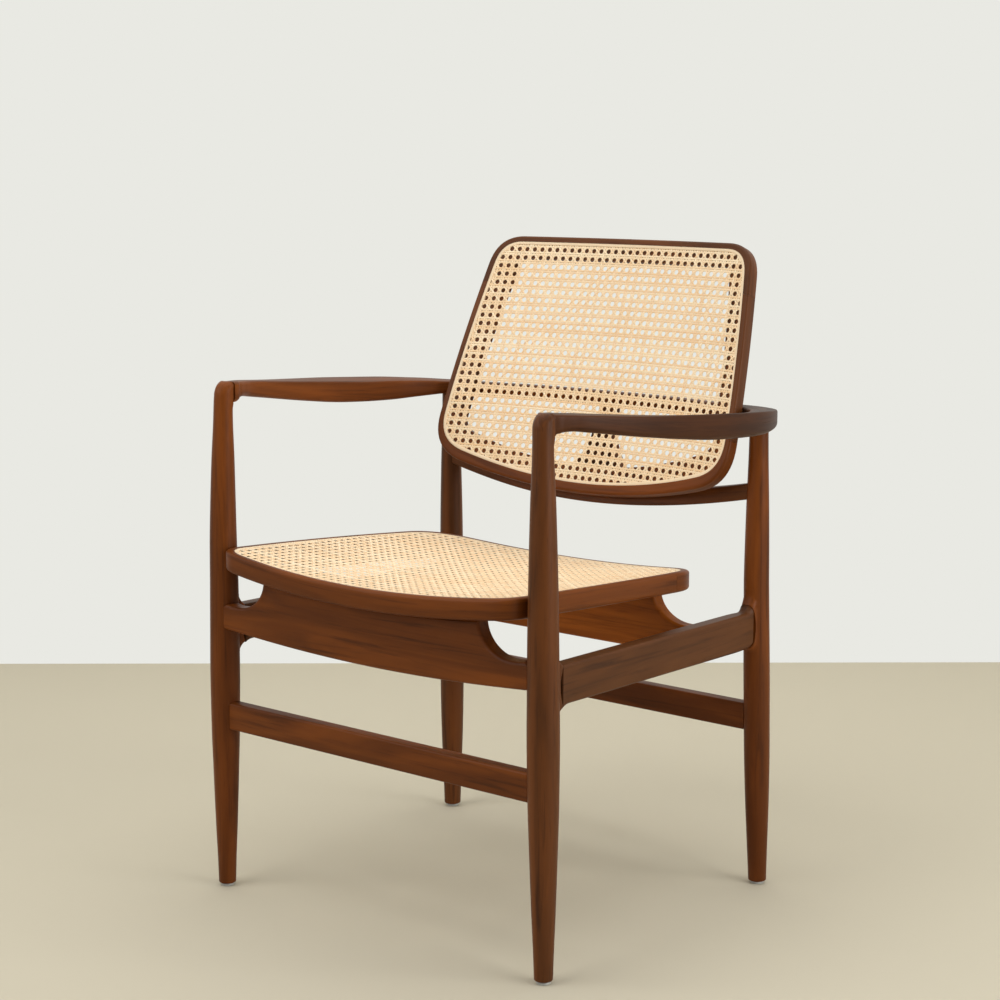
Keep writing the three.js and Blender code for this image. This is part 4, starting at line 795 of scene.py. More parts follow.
def flat_cap(ring):
    """Triangles over a flat ring in X and Z, as even as its points allow (a Delaunay triangulation)."""
    inside_only, tolerance = 1, 1e-8
    loop = [list(range(len(ring)))]
    made = geometry.delaunay_2d_cdt(ring[:, [0, 2]].tolist(), [], loop, inside_only, tolerance)
    own = np.array([sources[0] for sources in made[3]])
    return own[np.array(made[2])]

print("heights under the seat", seat_under(np.array([0, FRONT_RAISED]), FRONT_Y).round(4))

# %% [markdown]
# ## From outline to board
# A saw gives an apron its outline, and a cutter then rounds its edges but not the ends that meet the legs. A
# bevel modifier would round the ends too. Here the outline is drawn in along its normals, ring by ring, and
# near both ends the board is stretched until it fits the round leg or the rail.

# %% Boards on edge
def rounded_board(name, flat, front, reach_at, seed):
    """Board from an outline: rings drawn in by a quarter circle at each face, but not at its ends."""
    half = np.abs(flat[:, 0]).max()
    ahead, behind = np.roll(flat, -1, axis=0), np.roll(flat, 1, axis=0)
    way = unit(ahead - flat) + unit(flat - behind)
    normal = np.stack([way[:, 1], -way[:, 0]], axis=-1) * 2 / (way**2).sum(axis=-1, keepdims=True)
    at_end = np.abs(flat[:, 0]) > half - 0.01 * MM
    tall = (flat[:, 1] > np.roll(flat[:, 1], 1)) & (flat[:, 1] > np.roll(flat[:, 1], -1))
    corner = at_end & (tall | (np.abs(normal[:, 1]) > 0.2))
    upright = np.stack([0 * normal[:, 0], np.sign(normal[:, 1]) * corner], axis=-1)
    normal = np.where(at_end[:, None], upright, normal)
    by_end = ~at_end & (np.abs(flat[:, 0]) > half - 2 * APRON_ROUND)
    normal[by_end] = np.stack([0 * way[:, 0], np.sign(-way[:, 0])], axis=-1)[by_end]
    turn = np.linspace(0, math.pi / 2, 7)
    inset = APRON_ROUND * np.concatenate([1 - np.sin(turn), 1 - np.cos(turn)])[:, None, None]
    depth = np.concatenate([APRON_ROUND * (1 - np.cos(turn)), APRON_THICK - APRON_ROUND * (1 - np.sin(turn))])
    spot = flat - normal * inset
    y = np.broadcast_to((front + depth)[:, None], spot.shape[:2])
    near = np.clip(1 - (half - np.abs(spot[..., 0])) / APRON_FITS, 0, 1)
    x = spot[..., 0] + np.sign(spot[..., 0]) * near * (reach_at(y, spot[..., 1]) - half)
    rings = np.stack([x, y, spot[..., 1]], axis=-1)
    middle = np.interp(x[0], flat[:61, 0], flat[:61, 1]) + APRON_HEART
    drawn = rings[[0, -1]]
    drawn[..., 2] += (middle - drawn[..., 2]) * 0.1
    rings = np.concatenate([drawn[:1], rings, drawn[1:]])
    return skin(name, rings, straight_grain(rings[..., [1, 2, 0]], seed), sharp=30.0, cap=flat_cap(drawn[0]))


def front_reach(y, z):
    """Where the front apron's end meets the round leg: the axis less the root of radius^2 - offset^2."""
    return FRONT_AXIS[0] - np.sqrt(leg_radius(z, False) ** 2 - (y - FRONT_Y) ** 2) - CLEAR


def rear_reach(y, z):
    """Where the rear apron's end meets the side rail's inner face."""
    return rail_middle(y) + 0 * z - RAIL_THICK / 2 - CLEAR


def front_bottom(x):
    """Lower edge of the front apron: a shallow arch, a parabola across."""
    return FRONT_APRON_BOTTOM + FRONT_APRON_LIFT * (x / FRONT_AXIS[0]) ** 2


half = float(front_reach(FRONT_Y, np.array(FRONT_APRON_TOP)))
flat = apron_outline(half, FRONT_RAISED, front_bottom, FRONT_APRON_TOP, FRONT_Y)
board = rounded_board("front_apron_wood", flat, FRONT_APRON_FACE, front_reach, 9.7)
wood_pieces.append(("front_apron", board))
half = float(rear_reach(REAR_APRON_FACE, 0))
flat = apron_outline(half, REAR_RAISED, lambda x: np.full(x.shape, REAR_APRON_BOTTOM), REAR_APRON_TOP,
                     REAR_APRON_FACE + APRON_THICK / 2)
board = rounded_board("rear_apron_wood", flat, REAR_APRON_FACE, rear_reach, 10.9)
wood_pieces.append(("rear_apron", board))
print("aprons", [len(obj.data.polygons) for _, obj in wood_pieces[-2:]])

# %% [markdown]
# ## Arms and the rails behind the back
# These are swept: a rounded section is carried along a curve while its width, depth and height change.
# Blender's own curves can do that with a bevel and a taper, but they scale a section evenly, and an arm gets
# wider and thinner at once. Here the curve is a smooth line through a few stations, and the section always
# stands square to it.

# %% Swept pieces
def sweep(name, centres, widths, heights, low_round, high_round, seed, rise=None, steps=7):
    """Section swept along centres: its width lies square to the path in plan, its height is upright."""
    way = np.gradient(centres, axis=0)
    way[:, 2] = 0
    way = unit(way)
    right = np.stack([way[:, 1], -way[:, 0], np.zeros(len(way))], axis=-1)
    limit = 0.47 * np.minimum(widths, heights)[:, None]
    section = rounded_section(widths[:, None], heights[:, None], np.minimum(low_round, limit),
                              np.minimum(high_round, limit), steps)
    rings = centres[:, None] + section[..., :1] * right[:, None]
    rings[..., 2] += section[..., 1]
    if rise is not None:
        turned = ARM_TILT_BELOW + (1 - ARM_TILT_BELOW) * (section[..., 1] / heights[:, None] + 0.5)
        rings[..., 2] += rise[:, None] * turned * section[..., 0]
    along = np.broadcast_to(run_lengths(centres)[:, None], section.shape[:2])
    grain = np.stack([section[..., 0], section[..., 1], along], axis=-1)
    return skin(name, rings, straight_grain(grain, seed))

print("swept from a section of", len(rounded_section(1, 1, 0.1, 0.1, 7)), "points")

# %% [markdown]
# ## Arms
# An arm starts at the front leg's seam, swells outwards, falls to the rear and hooks in behind the back. It
# is shallow in front and deepest behind its middle. Sculpting would give one such arm. A table of stations
# gives both, as mirror images, and each number in it could be measured in the photograph.

# %% Arm stations
ARM_SWELL, ARM_FALL, ARM_WIDTH, ARM_DEPTH = np.array([46, 35.2, 33, 28.5]) * MM
ARM_END, ARM_TILT, ARM_TILT_BELOW = 217 * MM, 5 * MM, 0.5
# Radii of the lower and the upper edges at the seam, what they lose on the way, and over which share of it
ARM_EDGES = np.array([7, 4.5]) * MM
ARM_EDGES_LOSE, ARM_EDGES_OVER = np.array([1, 1.7]) * MM, np.array([0.06, 0.14])
# Each row: way back, swell, width, fall, depth and tilt, as shares of the sizes above
arm_shares = np.array([
    (0.021, -0.075, 0.76, 0.01, 0.91, 0), (0.033, -0.05, 0.765, 0.02, 0.905, 0),
    (0.038, -0.02, 0.775, 0.025, 0.83, 0), (0.045, 0.02, 0.785, 0.035, 0.77, 0),
    (0.056, 0.06, 0.8, 0.05, 0.715, 0), (0.085, 0.19, 0.83, 0.08, 0.66, 0),
    (0.138, 0.39, 0.88, 0.138, 0.71, 0.03), (0.276, 0.685, 0.96, 0.302, 0.83, 0.15),
    (0.414, 0.87, 1, 0.446, 0.947, 0.5), (0.552, 0.98, 1, 0.577, 1.042, 0.85),
    (0.69, 1, 1, 0.716, 1.02, 1.05),
    (0.805, 0.92, 1, 0.807, 0.97, 0.85), (0.885, 0.72, 1.02, 0.88, 0.85, 0.5),
    (0.945, 0.42, 1.03, 0.932, 0.73, 0.22), (0.993, 0.03, 0.98, 0.985, 0.6, 0.05),
    (1.018, -0.38, 0.82, 1, 0.59, 0), (1.027, -0.75, 0.67, 1, 0.59, 0), (1.028, -1, 0.65, 1, 0.59, 0)])


def arm(name, side, seed):
    """Arm from the front leg's seam to the end of its hook. Midway its outer edge is above its inner one."""
    count = len(arm_shares)
    rows = np.column_stack([np.arange(count), arm_shares])
    back, swell, width, fall, depth, tilt = smooth_rows(rows, np.linspace(0, count - 1, 8 * count)).T
    x = FRONT_AXIS[0] + np.where(swell >= 0, ARM_SWELL * swell, (FRONT_AXIS[0] - ARM_END) * swell)
    y = FRONT_Y + PITCH * back
    height = ARM_DEPTH * depth
    z = FRONT_TOP - ARM_FALL * fall - height / 2
    rise = side * ARM_TILT * tilt / ARM_WIDTH
    past_seam = np.clip((back[:, None] - 0.03) / ARM_EDGES_OVER, 0, 1)
    low, high = np.hsplit(ARM_EDGES - ARM_EDGES_LOSE * (1 - (1 - past_seam) ** 1.5), 2)
    return sweep(name, np.stack([side * x, y, z], axis=-1), ARM_WIDTH * width, height, low, high, seed, rise)


for k, (side_name, side) in enumerate(SIDES):
    wood_pieces.append((f"arm_{side_name}", arm(f"arm_{side_name}_wood", side, 12.3 + k)))

print("arms", [len(obj.data.polygons) for _, obj in wood_pieces[-2:]])

# %% [markdown]
# ## Arm cross rail
# A bowed rail ties the arms' hooks together behind the panel. An arc would be the simplest curve, but the
# real rail bends most near its ends and is almost straight at them. So its bow is a smooth line through a few
# shares, mirrored about the middle, and the same sweep makes the rail.

# %% Cross rail
CROSS_TOP = float(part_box("arm_cross_rail")[1][2])
CROSS_HEIGHT, CROSS_THICK, CROSS_BOW, CROSS_ROUND = np.array([20, 20, 20, 3]) * MM
cross_bow_shares = [(0, 1), (0.25, 0.97), (0.5, 0.83), (0.7, 0.52), (0.85, 0.2), (0.93, 0.06), (1, 0)]
share = np.linspace(-1, 1, 61)
bow = smooth_rows(cross_bow_shares, np.abs(share))[:, 0]
centres = np.stack([share * (ARM_END - CLEAR / 2), REAR_Y + CROSS_THICK / 2 + CROSS_BOW * bow,
                    np.full(61, CROSS_TOP - CROSS_HEIGHT / 2)], axis=-1)
cross_rail = sweep("arm_cross_rail_wood", centres, np.full(61, CROSS_THICK), np.full(61, CROSS_HEIGHT),
                   CROSS_ROUND, CROSS_ROUND, 15.1)
wood_pieces.append(("arm_cross_rail", cross_rail))

print("cross rail", len(cross_rail.data.polygons))

# %% [markdown]
# ## Lower back rail
# This rail carries the panel's lower edge. Its front face comes forward to the panel midway and goes back at
# the legs, while its back stays straight, so a plain sweep can't make it. Each ring of it is placed by
# formula: parabolas across for its height and its front face, and ends that are hollowed to the legs.

# %% Lower rail
LOWER_BOTTOM, LOWER_RISE, LOWER_HEIGHT, LOWER_THICK = np.array([477.5, 25.2, 20.5, 20]) * MM
LOWER_ROUND = 3 * MM


def panel_rear(z):
    """Where the middle of the panel's rear face stands at a height."""
    t = (z - BACK_FOOT[1] + BACK_THICK * math.sin(BACK_LEAN)) / math.cos(BACK_LEAN)
    return BACK_FOOT[0] + t * math.sin(BACK_LEAN) + BACK_THICK * math.cos(BACK_LEAN)


def lower_rail(name, seed):
    """Lower back rail: its front comes forward to the panel midway, its ends are hollowed to the legs."""
    share = np.linspace(-1, 1, 61)
    section = rounded_section(1.0, LOWER_HEIGHT, LOWER_ROUND, LOWER_ROUND, 7)
    rear = REAR_Y + LOWER_THICK / 2
    bottom = LOWER_BOTTOM + LOWER_RISE * share**2
    z = bottom[:, None] + LOWER_HEIGHT / 2 + section[:, 1]
    seated = panel_rear(z) + CLEAR
    front = seated + (rear - LOWER_THICK - seated) * share[:, None] ** 2
    from_edge = np.clip((LOWER_HEIGHT / 2 - np.abs(section[:, 1])) / LOWER_ROUND, 0, 1)
    inset = LOWER_ROUND * (1 - np.sqrt(1 - (1 - from_edge) ** 2))
    y = np.where(section[:, 0] > 0, rear - inset, front + inset)
    reach = REAR_AXIS[0] - np.sqrt(leg_radius(z[-1], True) ** 2 - (y[-1] - REAR_Y) ** 2) - CLEAR
    x = share[:, None] * reach
    grain = np.stack([y - REAR_Y, z - bottom[:, None], x], axis=-1) + seed
    return skin(name, np.stack([x, y, z], axis=-1), grain)


wood_pieces.append(("lower_back_rail", lower_rail("lower_back_rail_wood", 16.7)))

print("panel is this far back at its foot", round(float(panel_rear(LOWER_BOTTOM)), 4))

# %% [markdown]
# ## Back post
# A flat post stands behind the panel, flared like a foot where it meets the lower rail. It could be two
# mirrored curves filled in. Here it is a rounded section whose width follows a table of shares, and its
# lowest rings are lifted onto the rail's bowed top, so that no gap shows.

# %% Post
POST_THICK, POST_TOP_WIDTH, POST_FLARE, POST_LEAN = np.array([18, 24, 60, 31]) * MM
post_shares = [(0, 1, 0), (0.11, 0.82, 0.1), (0.2, 0.66, 0.19), (0.32, 0.45, 0.31), (0.44, 0.27, 0.43),
               (0.56, 0.14, 0.55), (0.75, 0.06, 0.73), (1, 0, 1)]


def post(name, seed):
    """Post between the two rails: a rounded section that narrows and leans back as it rises."""
    up = np.linspace(0, 1, 40)
    flare, forward = smooth_rows(post_shares, up).T
    low = LOWER_BOTTOM + LOWER_HEIGHT * 0.5
    high = CROSS_TOP - CROSS_HEIGHT - CLEAR
    width = POST_TOP_WIDTH + 2 * POST_FLARE * flare
    middle = REAR_Y + CROSS_BOW + CROSS_THICK / 2 - POST_LEAN * (1 - forward)
    section = rounded_section(width[:, None], POST_THICK, 3 * MM, 3 * MM, 7)
    x, y = section[..., 0], middle[:, None] + section[..., 1]
    floor = LOWER_BOTTOM + LOWER_RISE * (x / REAR_AXIS[0]) ** 2 + LOWER_HEIGHT + CLEAR
    rings = np.stack([x, y, np.maximum(floor, (low + (high - low) * up)[:, None])], axis=-1)
    return skin(name, rings, straight_grain(rings, seed))


wood_pieces.append(("back_post", post("back_post_wood", 18.1)))
print("wood pieces", len(wood_pieces))

# %% [markdown]
# ## Caning
# The cane is woven from pairs of strands up, pairs of strands across, and single diagonals both ways, which
# cut the corners off the square openings. A flat picture of caning on a sheet is the quick way, but it shows
# neither the openings nor the strands' own shadows. So each strand is a thin ribbon with a crowned top. It
# rises and sinks as it passes over and under the others: its height is a wave along its length, and all
# follow the frame's curve.

# %% Caning
CELL = 11.9 * MM
PAIR = 1.6 * MM
STRAIGHT_WIDE, DIAGONAL_WIDE = 2.6 * MM, 2.3 * MM
STRAND_HIGH = 0.6 * MM
CANE_DEPTH = CLEAR + CANE_THICK / 2
ribbon_section = np.array([(-0.5, 0.0), (0.5, 0.0), (0.42, 0.75), (0.0, 1.0), (-0.42, 0.75)])


def span_in(rim, direction, place):
    """Distances along a line, at a place along its normal, where it enters and leaves a closed outline."""
    normal = np.array([-direction[1], direction[0]])
    a, b = rim, np.roll(rim, -1, axis=0)
    fall = (b - a) @ normal
    t = (place - a @ normal) / np.where(np.abs(fall) < 1e-12, 1e-12, fall)
    hit = (t >= 0) & (t < 1)
    if hit.sum() < 2:
        return None
    along = (a + (b - a) * t[:, None])[hit] @ direction
    return along.min(), along.max()


def straight_wave(sign):
    """Heights along one cell of an upright or level strand: over one strand of a pair and under the other."""
    places = np.array([-2, -1, 0, 1, 2]) * PAIR
    return np.append(places, CELL / 2), sign * np.array([0, -0.5, 0, 0.5, 0, 0]) * STRAND_HIGH


def diagonal_wave(sign):
    """Heights along one cell of a diagonal strand: a cosine, high on one set of pairs, low on the other."""
    places = np.arange(8) / 8 * CELL * math.sqrt(2)
    return places, sign * np.cos(2 * math.pi * places / (CELL * math.sqrt(2))) * STRAND_HIGH


def crimped(span, start, period, base, heights):
    """Distances along a strand and its heights: a wave repeated from cell to cell, and level at both ends."""
    cells = np.arange(math.floor((span[0] - start) / period) - 1, math.ceil((span[1] - start) / period) + 2)
    along = (start + cells[:, None] * period + base).ravel()
    height = np.tile(heights, len(cells))
    order = np.argsort(along)
    along, height = along[order], height[order]
    inside = (along > span[0]) & (along < span[1])
    return np.concatenate([[span[0]], along[inside], [span[1]]]), np.concatenate([[0], height[inside], [0]])


def ribbons(name, rim, surface, direction, places, width, wave, period, phase, rng):
    """All strands of one direction as one mesh: each is a closed ribbon with the wave's heights."""
    direction = np.asarray(direction, float)
    normal = np.array([-direction[1], direction[0]])
    points, quads, caps, words, count = [], [], [], [], 0
    for index, place in enumerate(places):
        span = span_in(rim, direction, place)
        if span is None or span[1] - span[0] < CELL / 3:
            continue
        along, height = crimped(span, phase(place), period, *wave(1 if index % 2 else -1))
        line = direction * along[:, None] + normal * place
        wide = width * rng.uniform(0.95, 1.04)
        flat = line[:, None] + normal * (ribbon_section[:, :1] * wide)
        depth = CANE_DEPTH + STRAND_HIGH / 2 - height[:, None] - ribbon_section[:, 1] * STRAND_HIGH
        ring = surface(flat, depth)
        n, m = ring.shape[:2]
        points.append(ring.reshape(-1, 3))
        quads.append(ring_quads(n, m, False) + count)
        caps += [cap + count for cap in ring_caps(n, m)]
        tint = rng.uniform()
        word = np.stack(np.broadcast_arrays(tint, along[:, None], ribbon_section[:, 0]), axis=-1)
        words.append(word.reshape(-1, 3))
        count += n * m
    points = np.concatenate(points)
    faces = outward(points, [np.concatenate(quads), np.concatenate(caps)])
    print(name, "faces", sum(len(part) for part in faces))
    return new_mesh_object(name, points, faces, np.concatenate(words), sharp=60.0)


def caning(prefix, rim, surface, seed):
    """Four sets of strands: upright and level pairs, and two diagonals half a cell off the crossings."""
    rng = np.random.default_rng(seed)
    reach = np.abs(rim).max() * 2
    cells = np.arange(-math.ceil(reach / CELL), math.ceil(reach / CELL) + 1) * CELL
    pairs = (cells[:, None] + np.array([-PAIR, PAIR])).ravel()
    root = math.sqrt(0.5)
    half = (cells + CELL / 2) * root
    straight = (STRAIGHT_WIDE, straight_wave, CELL, lambda c: 0.0, rng)
    upright = ribbons(f"{prefix}_upright", rim, surface, (0, 1), -pairs, *straight)
    level = ribbons(f"{prefix}_level", rim, surface, (1, 0), pairs, *straight)
    slanted = (DIAGONAL_WIDE, lambda sign: diagonal_wave(1), CELL / root)
    rising = ribbons(f"{prefix}_rising", rim, surface, (root, root), half, *slanted, lambda c: c, rng)
    falling = ribbons(f"{prefix}_falling", rim, surface, (root, -root), half, *slanted, lambda c: -c, rng)
    return [upright, level, rising, falling]


seat_cane = caning("seat_cane", seat_outline(-SEAT_BORDER - GROOVE[0]), seat_surface, 11)
back_cane = caning("back_cane", back_outline(-GROOVE[0]), back_surface, 23)

# %% [markdown]
# ## Strips round the caning
# A strip of bent cane is pressed into a groove and holds the sheet's edge. It could be a curve object with a
# profile. Here it is the groove's own outline, drawn in step by step from its outer to its inner edge, so it
# fits the groove all round. Its top is crowned by a sine, so that it catches a line of light.

# %% Strips
STRIP_RISE, STRIP_EDGE = 0.45 * MM, 0.35 * MM


def spline_strip(name, border, surface):
    """Strip in the groove: a flat-bottomed section with a crowned top, carried round the whole outline."""
    share = np.linspace(0, 1, 7)
    crown = CLEAR + STRIP_EDGE - STRIP_RISE * np.sin(math.pi * share)
    loops = [surface(border(-CLEAR / 2 - s * GROOVE[0]), d) for s, d in zip(share, crown)]
    loops += [surface(border(-CLEAR / 2 - s * GROOVE[0]), GROOVE[1]) for s in (1, 0)]
    rings = np.stack(loops).transpose(1, 0, 2)
    along = run_lengths(rings[:, 0])[:, None]
    words = np.stack(np.broadcast_arrays(0.5, along, np.append(share, [1, 0]) - 0.5), axis=-1)
    return skin(name, rings, words, closed=True)


seat_strip = spline_strip("seat_strip", seat_border, seat_surface)
back_strip = spline_strip("back_strip", back_outline, back_surface)
print("strips", len(seat_strip.data.polygons), len(back_strip.data.polygons))

# %% [markdown]
# ## Glides
# A glide is a small plastic button under each foot. Small round parts are a profile turned about an axis: a
# list of radii and heights, carried round a circle, as the Screw modifier would do it. A function of its own
# was chosen because the same rings of points then go through the one helper that closes and turns out every
# solid here.

# %% Turned parts
def turned(name, profile, origin, axis, steps=40):
    """Profile of (radius, height) pairs turned about an axis that starts at an origin."""
    axis = unit(np.asarray(axis, float))
    side = unit(np.cross(axis, [0.3, 0.2, 1.0] if abs(axis[2]) < 0.9 else [1.0, 0.2, 0.1]))
    other = np.cross(axis, side)
    angle = np.linspace(0, 2 * math.pi, steps, endpoint=False)[:, None]
    circle = np.cos(angle) * side + np.sin(angle) * other
    rings = [np.asarray(origin) + radius * circle + height * axis for radius, height in profile]
    return skin(name, np.stack(rings), sharp=40.0)


plain_pieces = []
GLIDE_WIDE = 17 * MM
glide_profile = [(0.2, 0.05), (0.9, 0.0), (1.0, 0.1), (1.0, 0.62), (0.93, 0.86), (0.75, 1.0), (0.15, 1.0)]
for place in ("front", "back"):
    for side_name, side in SIDES:
        node = f"glide_{place}_{side_name}"
        centre = np.array(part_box(node)).mean(axis=0)
        profile = [(r * GLIDE_WIDE / 2, h * GLIDE_HEIGHT) for r, h in glide_profile]
        button = turned(node + "_turned", profile, (centre[0], centre[1], 0), (0, 0, 1))
        plain_pieces.append((node, button, "glide_plastic"))
print("glides", len(plain_pieces))

# %% [markdown]
# ## A small language for materials
# Shader maths is easier to read as a formula than as a net of boxes, though the net is what Blender keeps.
# This class wraps a socket, so that a + b or 1 - a adds a Math node. Every other node comes from one method.
# It takes the node's type, its settings and what goes into its sockets, so a whole finish reads from top to
# bottom like a recipe.

# %% Socket class
def srgb(r, g, b):
    """Colour as an eye reads it on a screen, 0 to 255, as the linear numbers that a shader wants."""
    c = np.array([r, g, b]) / 255
    linear = np.where(c <= 0.04045, c / 12.92, ((c + 0.055) / 1.055) ** 2.4)
    return (*[float(v) for v in linear], 1.0)


class Sock:
    """A socket that works like a number: each operation adds a Math node to the same tree."""

    def __init__(self, tree, socket):
        self.tree, self.socket = tree, socket

    @classmethod
    def node(cls, tree, kind, settings=None, sockets=None, output=0):
        """Any node: its settings first, then the values or links of its sockets. Gives back an output."""
        made = tree.nodes.new(kind)
        for key, value in (settings or {}).items():
            setattr(made, key, value)
        for key, value in (sockets or {}).items():
            if isinstance(value, Sock):
                tree.links.new(value.socket, made.inputs[key])
            else:
                made.inputs[key].default_value = value
        return cls(tree, made.outputs[output]) if len(made.outputs) else None

    def out(self, name):
        """Another output of the same node."""
        return Sock(self.tree, self.socket.node.outputs[name])

    def maths(self, operation, *values):
        """A Math node on values or sockets."""
        return Sock.node(self.tree, "ShaderNodeMath", {"operation": operation}, dict(enumerate(values)))

    def __add__(self, other):
        return self.maths("ADD", self, other)

    def __radd__(self, other):
        return self.maths("ADD", other, self)

    def __sub__(self, other):
        return self.maths("SUBTRACT", self, other)

    def __rsub__(self, other):
        return self.maths("SUBTRACT", other, self)

    def __mul__(self, other):
        return self.maths("MULTIPLY", self, other)

    def __rmul__(self, other):
        return self.maths("MULTIPLY", other, self)

    def ramp(self, low, high):
        """This value by a smooth step: nought at the low end of a range, one at its high end."""
        smooth = {"interpolation_type": "SMOOTHSTEP"}
        return Sock.node(self.tree, "ShaderNodeMapRange", smooth, {0: self, 1: low, 2: high, 3: 0.0, 4: 1.0})

    def between(self, dark, light):
        """Colour between two colours, by this value. Sockets 6 and 7 of the Mix node are its two colours."""
        return Sock.node(self.tree, "ShaderNodeMix", {"data_type": "RGBA"}, {0: self, 6: dark, 7: light}, 2)

print("a mid grey of 128 is", round(srgb(128, 128, 128)[0], 4), "in a shader")

# %% [markdown]
# ## Words for finishes
# Every finish here needs the same few things: an empty tree, a shader led to its output, noise read along the
# grain, and a little bump. They could be node groups, which show as boxes in Blender. As small functions they
# can be read here, next to the finishes that use them.

# %% Finish helpers
def empty_material(name):
    """Material with nothing in its tree, and the tree."""
    material = bpy.data.materials.new(name)
    material.use_nodes = True
    material.node_tree.nodes.clear()
    return material, material.node_tree


def coat(tree, sockets):
    """Principled shader with its sockets filled, led to the tree's output."""
    shader = Sock.node(tree, "ShaderNodeBsdfPrincipled", sockets=sockets)
    Sock.node(tree, "ShaderNodeOutputMaterial", sockets={"Surface": shader})


def grain_at(tree, scale):
    """The piece's own grain as coordinates, scaled across, across and along."""
    source = Sock.node(tree, "ShaderNodeAttribute", {"attribute_name": "grain"}, output="Vector")
    return Sock.node(tree, "ShaderNodeMapping", sockets={"Vector": source, "Scale": scale})


def noise(vector, detail, rough=0.55, warp=0.0, scale=1.0):
    """Fractal noise read at a vector, from 0 to 1."""
    return Sock.node(vector.tree, "ShaderNodeTexNoise", sockets={
        "Vector": vector, "Scale": scale, "Detail": detail, "Roughness": rough, "Distortion": warp})


def bump(height, strength, distance):
    """Normal that a height tips, for a shader's Normal."""
    return Sock.node(height.tree, "ShaderNodeBump", sockets={
        "Strength": strength, "Distance": distance, "Height": height})


print("materials so far", len(bpy.data.materials))

# %% [markdown]
# ## Wood
# The wood is a dark, oily hardwood. Its figure has three scales: broad bands of colour, narrow dark streaks
# that run the length of the plank, and pores like short scratches. A photographed texture would repeat itself
# from board to board. Here all three are noise read at the grain coordinates, squeezed along the plank, so
# one recipe serves every piece. Five mixtures of it, from deep brown to a warm orange, are lit and shaded
# copies of that wood: partly the parts' own tone, partly painted light and painted shade.

# %% Wood
def wood(name, deep, body, glow, streak=0.5):
    """Satin hardwood from three colours: streaks, body and the lighter bands."""
    material, tree = empty_material(name)
    broad = noise(grain_at(tree, (26, 26, 2.6)), 3.0, 0.5, 1.2)
    lines = noise(grain_at(tree, (110, 110, 4.5)), 5.0, 0.6, 0.8)
    pores = noise(grain_at(tree, (900, 900, 26)), 2.0, 0.5)
    scratches = pores.ramp(0.55, 0.8)
    marks = lines.ramp(0.5, 0.72) * streak + pores.ramp(0.58, 0.75) * 0.25
    figure = broad.ramp(0.32, 0.7).between(body, glow)
    coat(tree, {
        "Base Color": marks.maths("MINIMUM", marks, 1.0).between(figure, deep),
        "Roughness": 0.36 + lines * 0.14 + scratches * 0.12,
        "Specular IOR Level": 0.16,
        "Normal": bump(1 - scratches * 0.7 - lines * 0.3, 0.25, 0.0004)})
    return material


# The warm and the bright mixture are partly a warmer wood and partly painted light, for pieces that stand in
# light. The deep and the grey mixture are painted shade for pieces in shade, the grey one with a painted grey
# sheen.
dark_wood = wood("dark_wood", srgb(34, 16, 8), srgb(76, 42, 17), srgb(108, 60, 25))
warm_and_lit_wood = wood("warm_and_lit_wood", srgb(42, 19, 5), srgb(90, 44, 9), srgb(122, 63, 17))
grey_shaded_sheen_wood = wood("grey_shaded_sheen_wood", srgb(38, 22, 13), srgb(74, 42, 18), srgb(96, 56, 26), 0.55)
deep_shaded_wood = wood("deep_shaded_wood", srgb(24, 11, 5), srgb(54, 28, 11), srgb(80, 43, 17))
bright_and_lit_wood = wood("bright_and_lit_wood", srgb(64, 29, 8), srgb(132, 68, 17), srgb(170, 94, 29))

print("woods", [skin_of.name for skin_of in (dark_wood, warm_and_lit_wood, grey_shaded_sheen_wood, deep_shaded_wood, bright_and_lit_wood)])

# %% [markdown]
# ## Cane, glides and steel
# Cane is the peeled skin of a vine: glossy, straw coloured, with fine fibres along it and a tint of its own
# for each strand. One colour would make the weave look printed. So a strand's grain carries its tint, the way
# along and the way across, and the fibres are noise drawn out along it. Plastic, steel and dowels are hardly
# seen: a faint cloud over colour and roughness is enough to keep them from looking like flat paint.

# %% Other finishes
def cane_material(name, pale, deep):
    """Peeled cane: its tint by strand, fibres along it and a soft sheen."""
    material, tree = empty_material(name)
    grain = Sock.node(tree, "ShaderNodeAttribute", {"attribute_name": "grain"}, output="Vector")
    tint = Sock.node(tree, "ShaderNodeSeparateXYZ", sockets={0: grain})
    fibres = noise(grain_at(tree, (50, 9, 9)), 4.0, 0.6)
    coat(tree, {
        "Base Color": (tint * 0.5 + fibres * 0.75 - 0.1).ramp(0.0, 1.0).between(pale, deep),
        "Roughness": 0.42 + fibres * 0.15,
        "Normal": bump(fibres, 0.15, 0.0003)})
    return material


def simple_material(name, low, high, rough, scale, metal=0.0):
    """Even material with a faint mottling of colour and roughness."""
    material, tree = empty_material(name)
    place = Sock.node(tree, "ShaderNodeTexCoord", output="Object")
    cloud = noise(place, 3.0, scale=scale)
    coat(tree, {"Base Color": cloud.between(low, high), "Roughness": rough + cloud * 0.12, "Metallic": metal})
    return material


cane_skin = cane_material("cane_skin", srgb(255, 238, 205), srgb(240, 198, 146))
strip_skin = cane_material("strip_skin", srgb(250, 232, 200), srgb(234, 202, 160))
glide_plastic = simple_material("glide_plastic", srgb(150, 150, 144), srgb(190, 190, 184), 0.25, 160)
screw_steel = simple_material("screw_steel", srgb(150, 146, 140), srgb(190, 186, 180), 0.3, 400, 1.0)
dowel_wood = simple_material("dowel_wood", srgb(170, 128, 80), srgb(196, 156, 104), 0.6, 300)
print("finishes", len(bpy.data.materials))
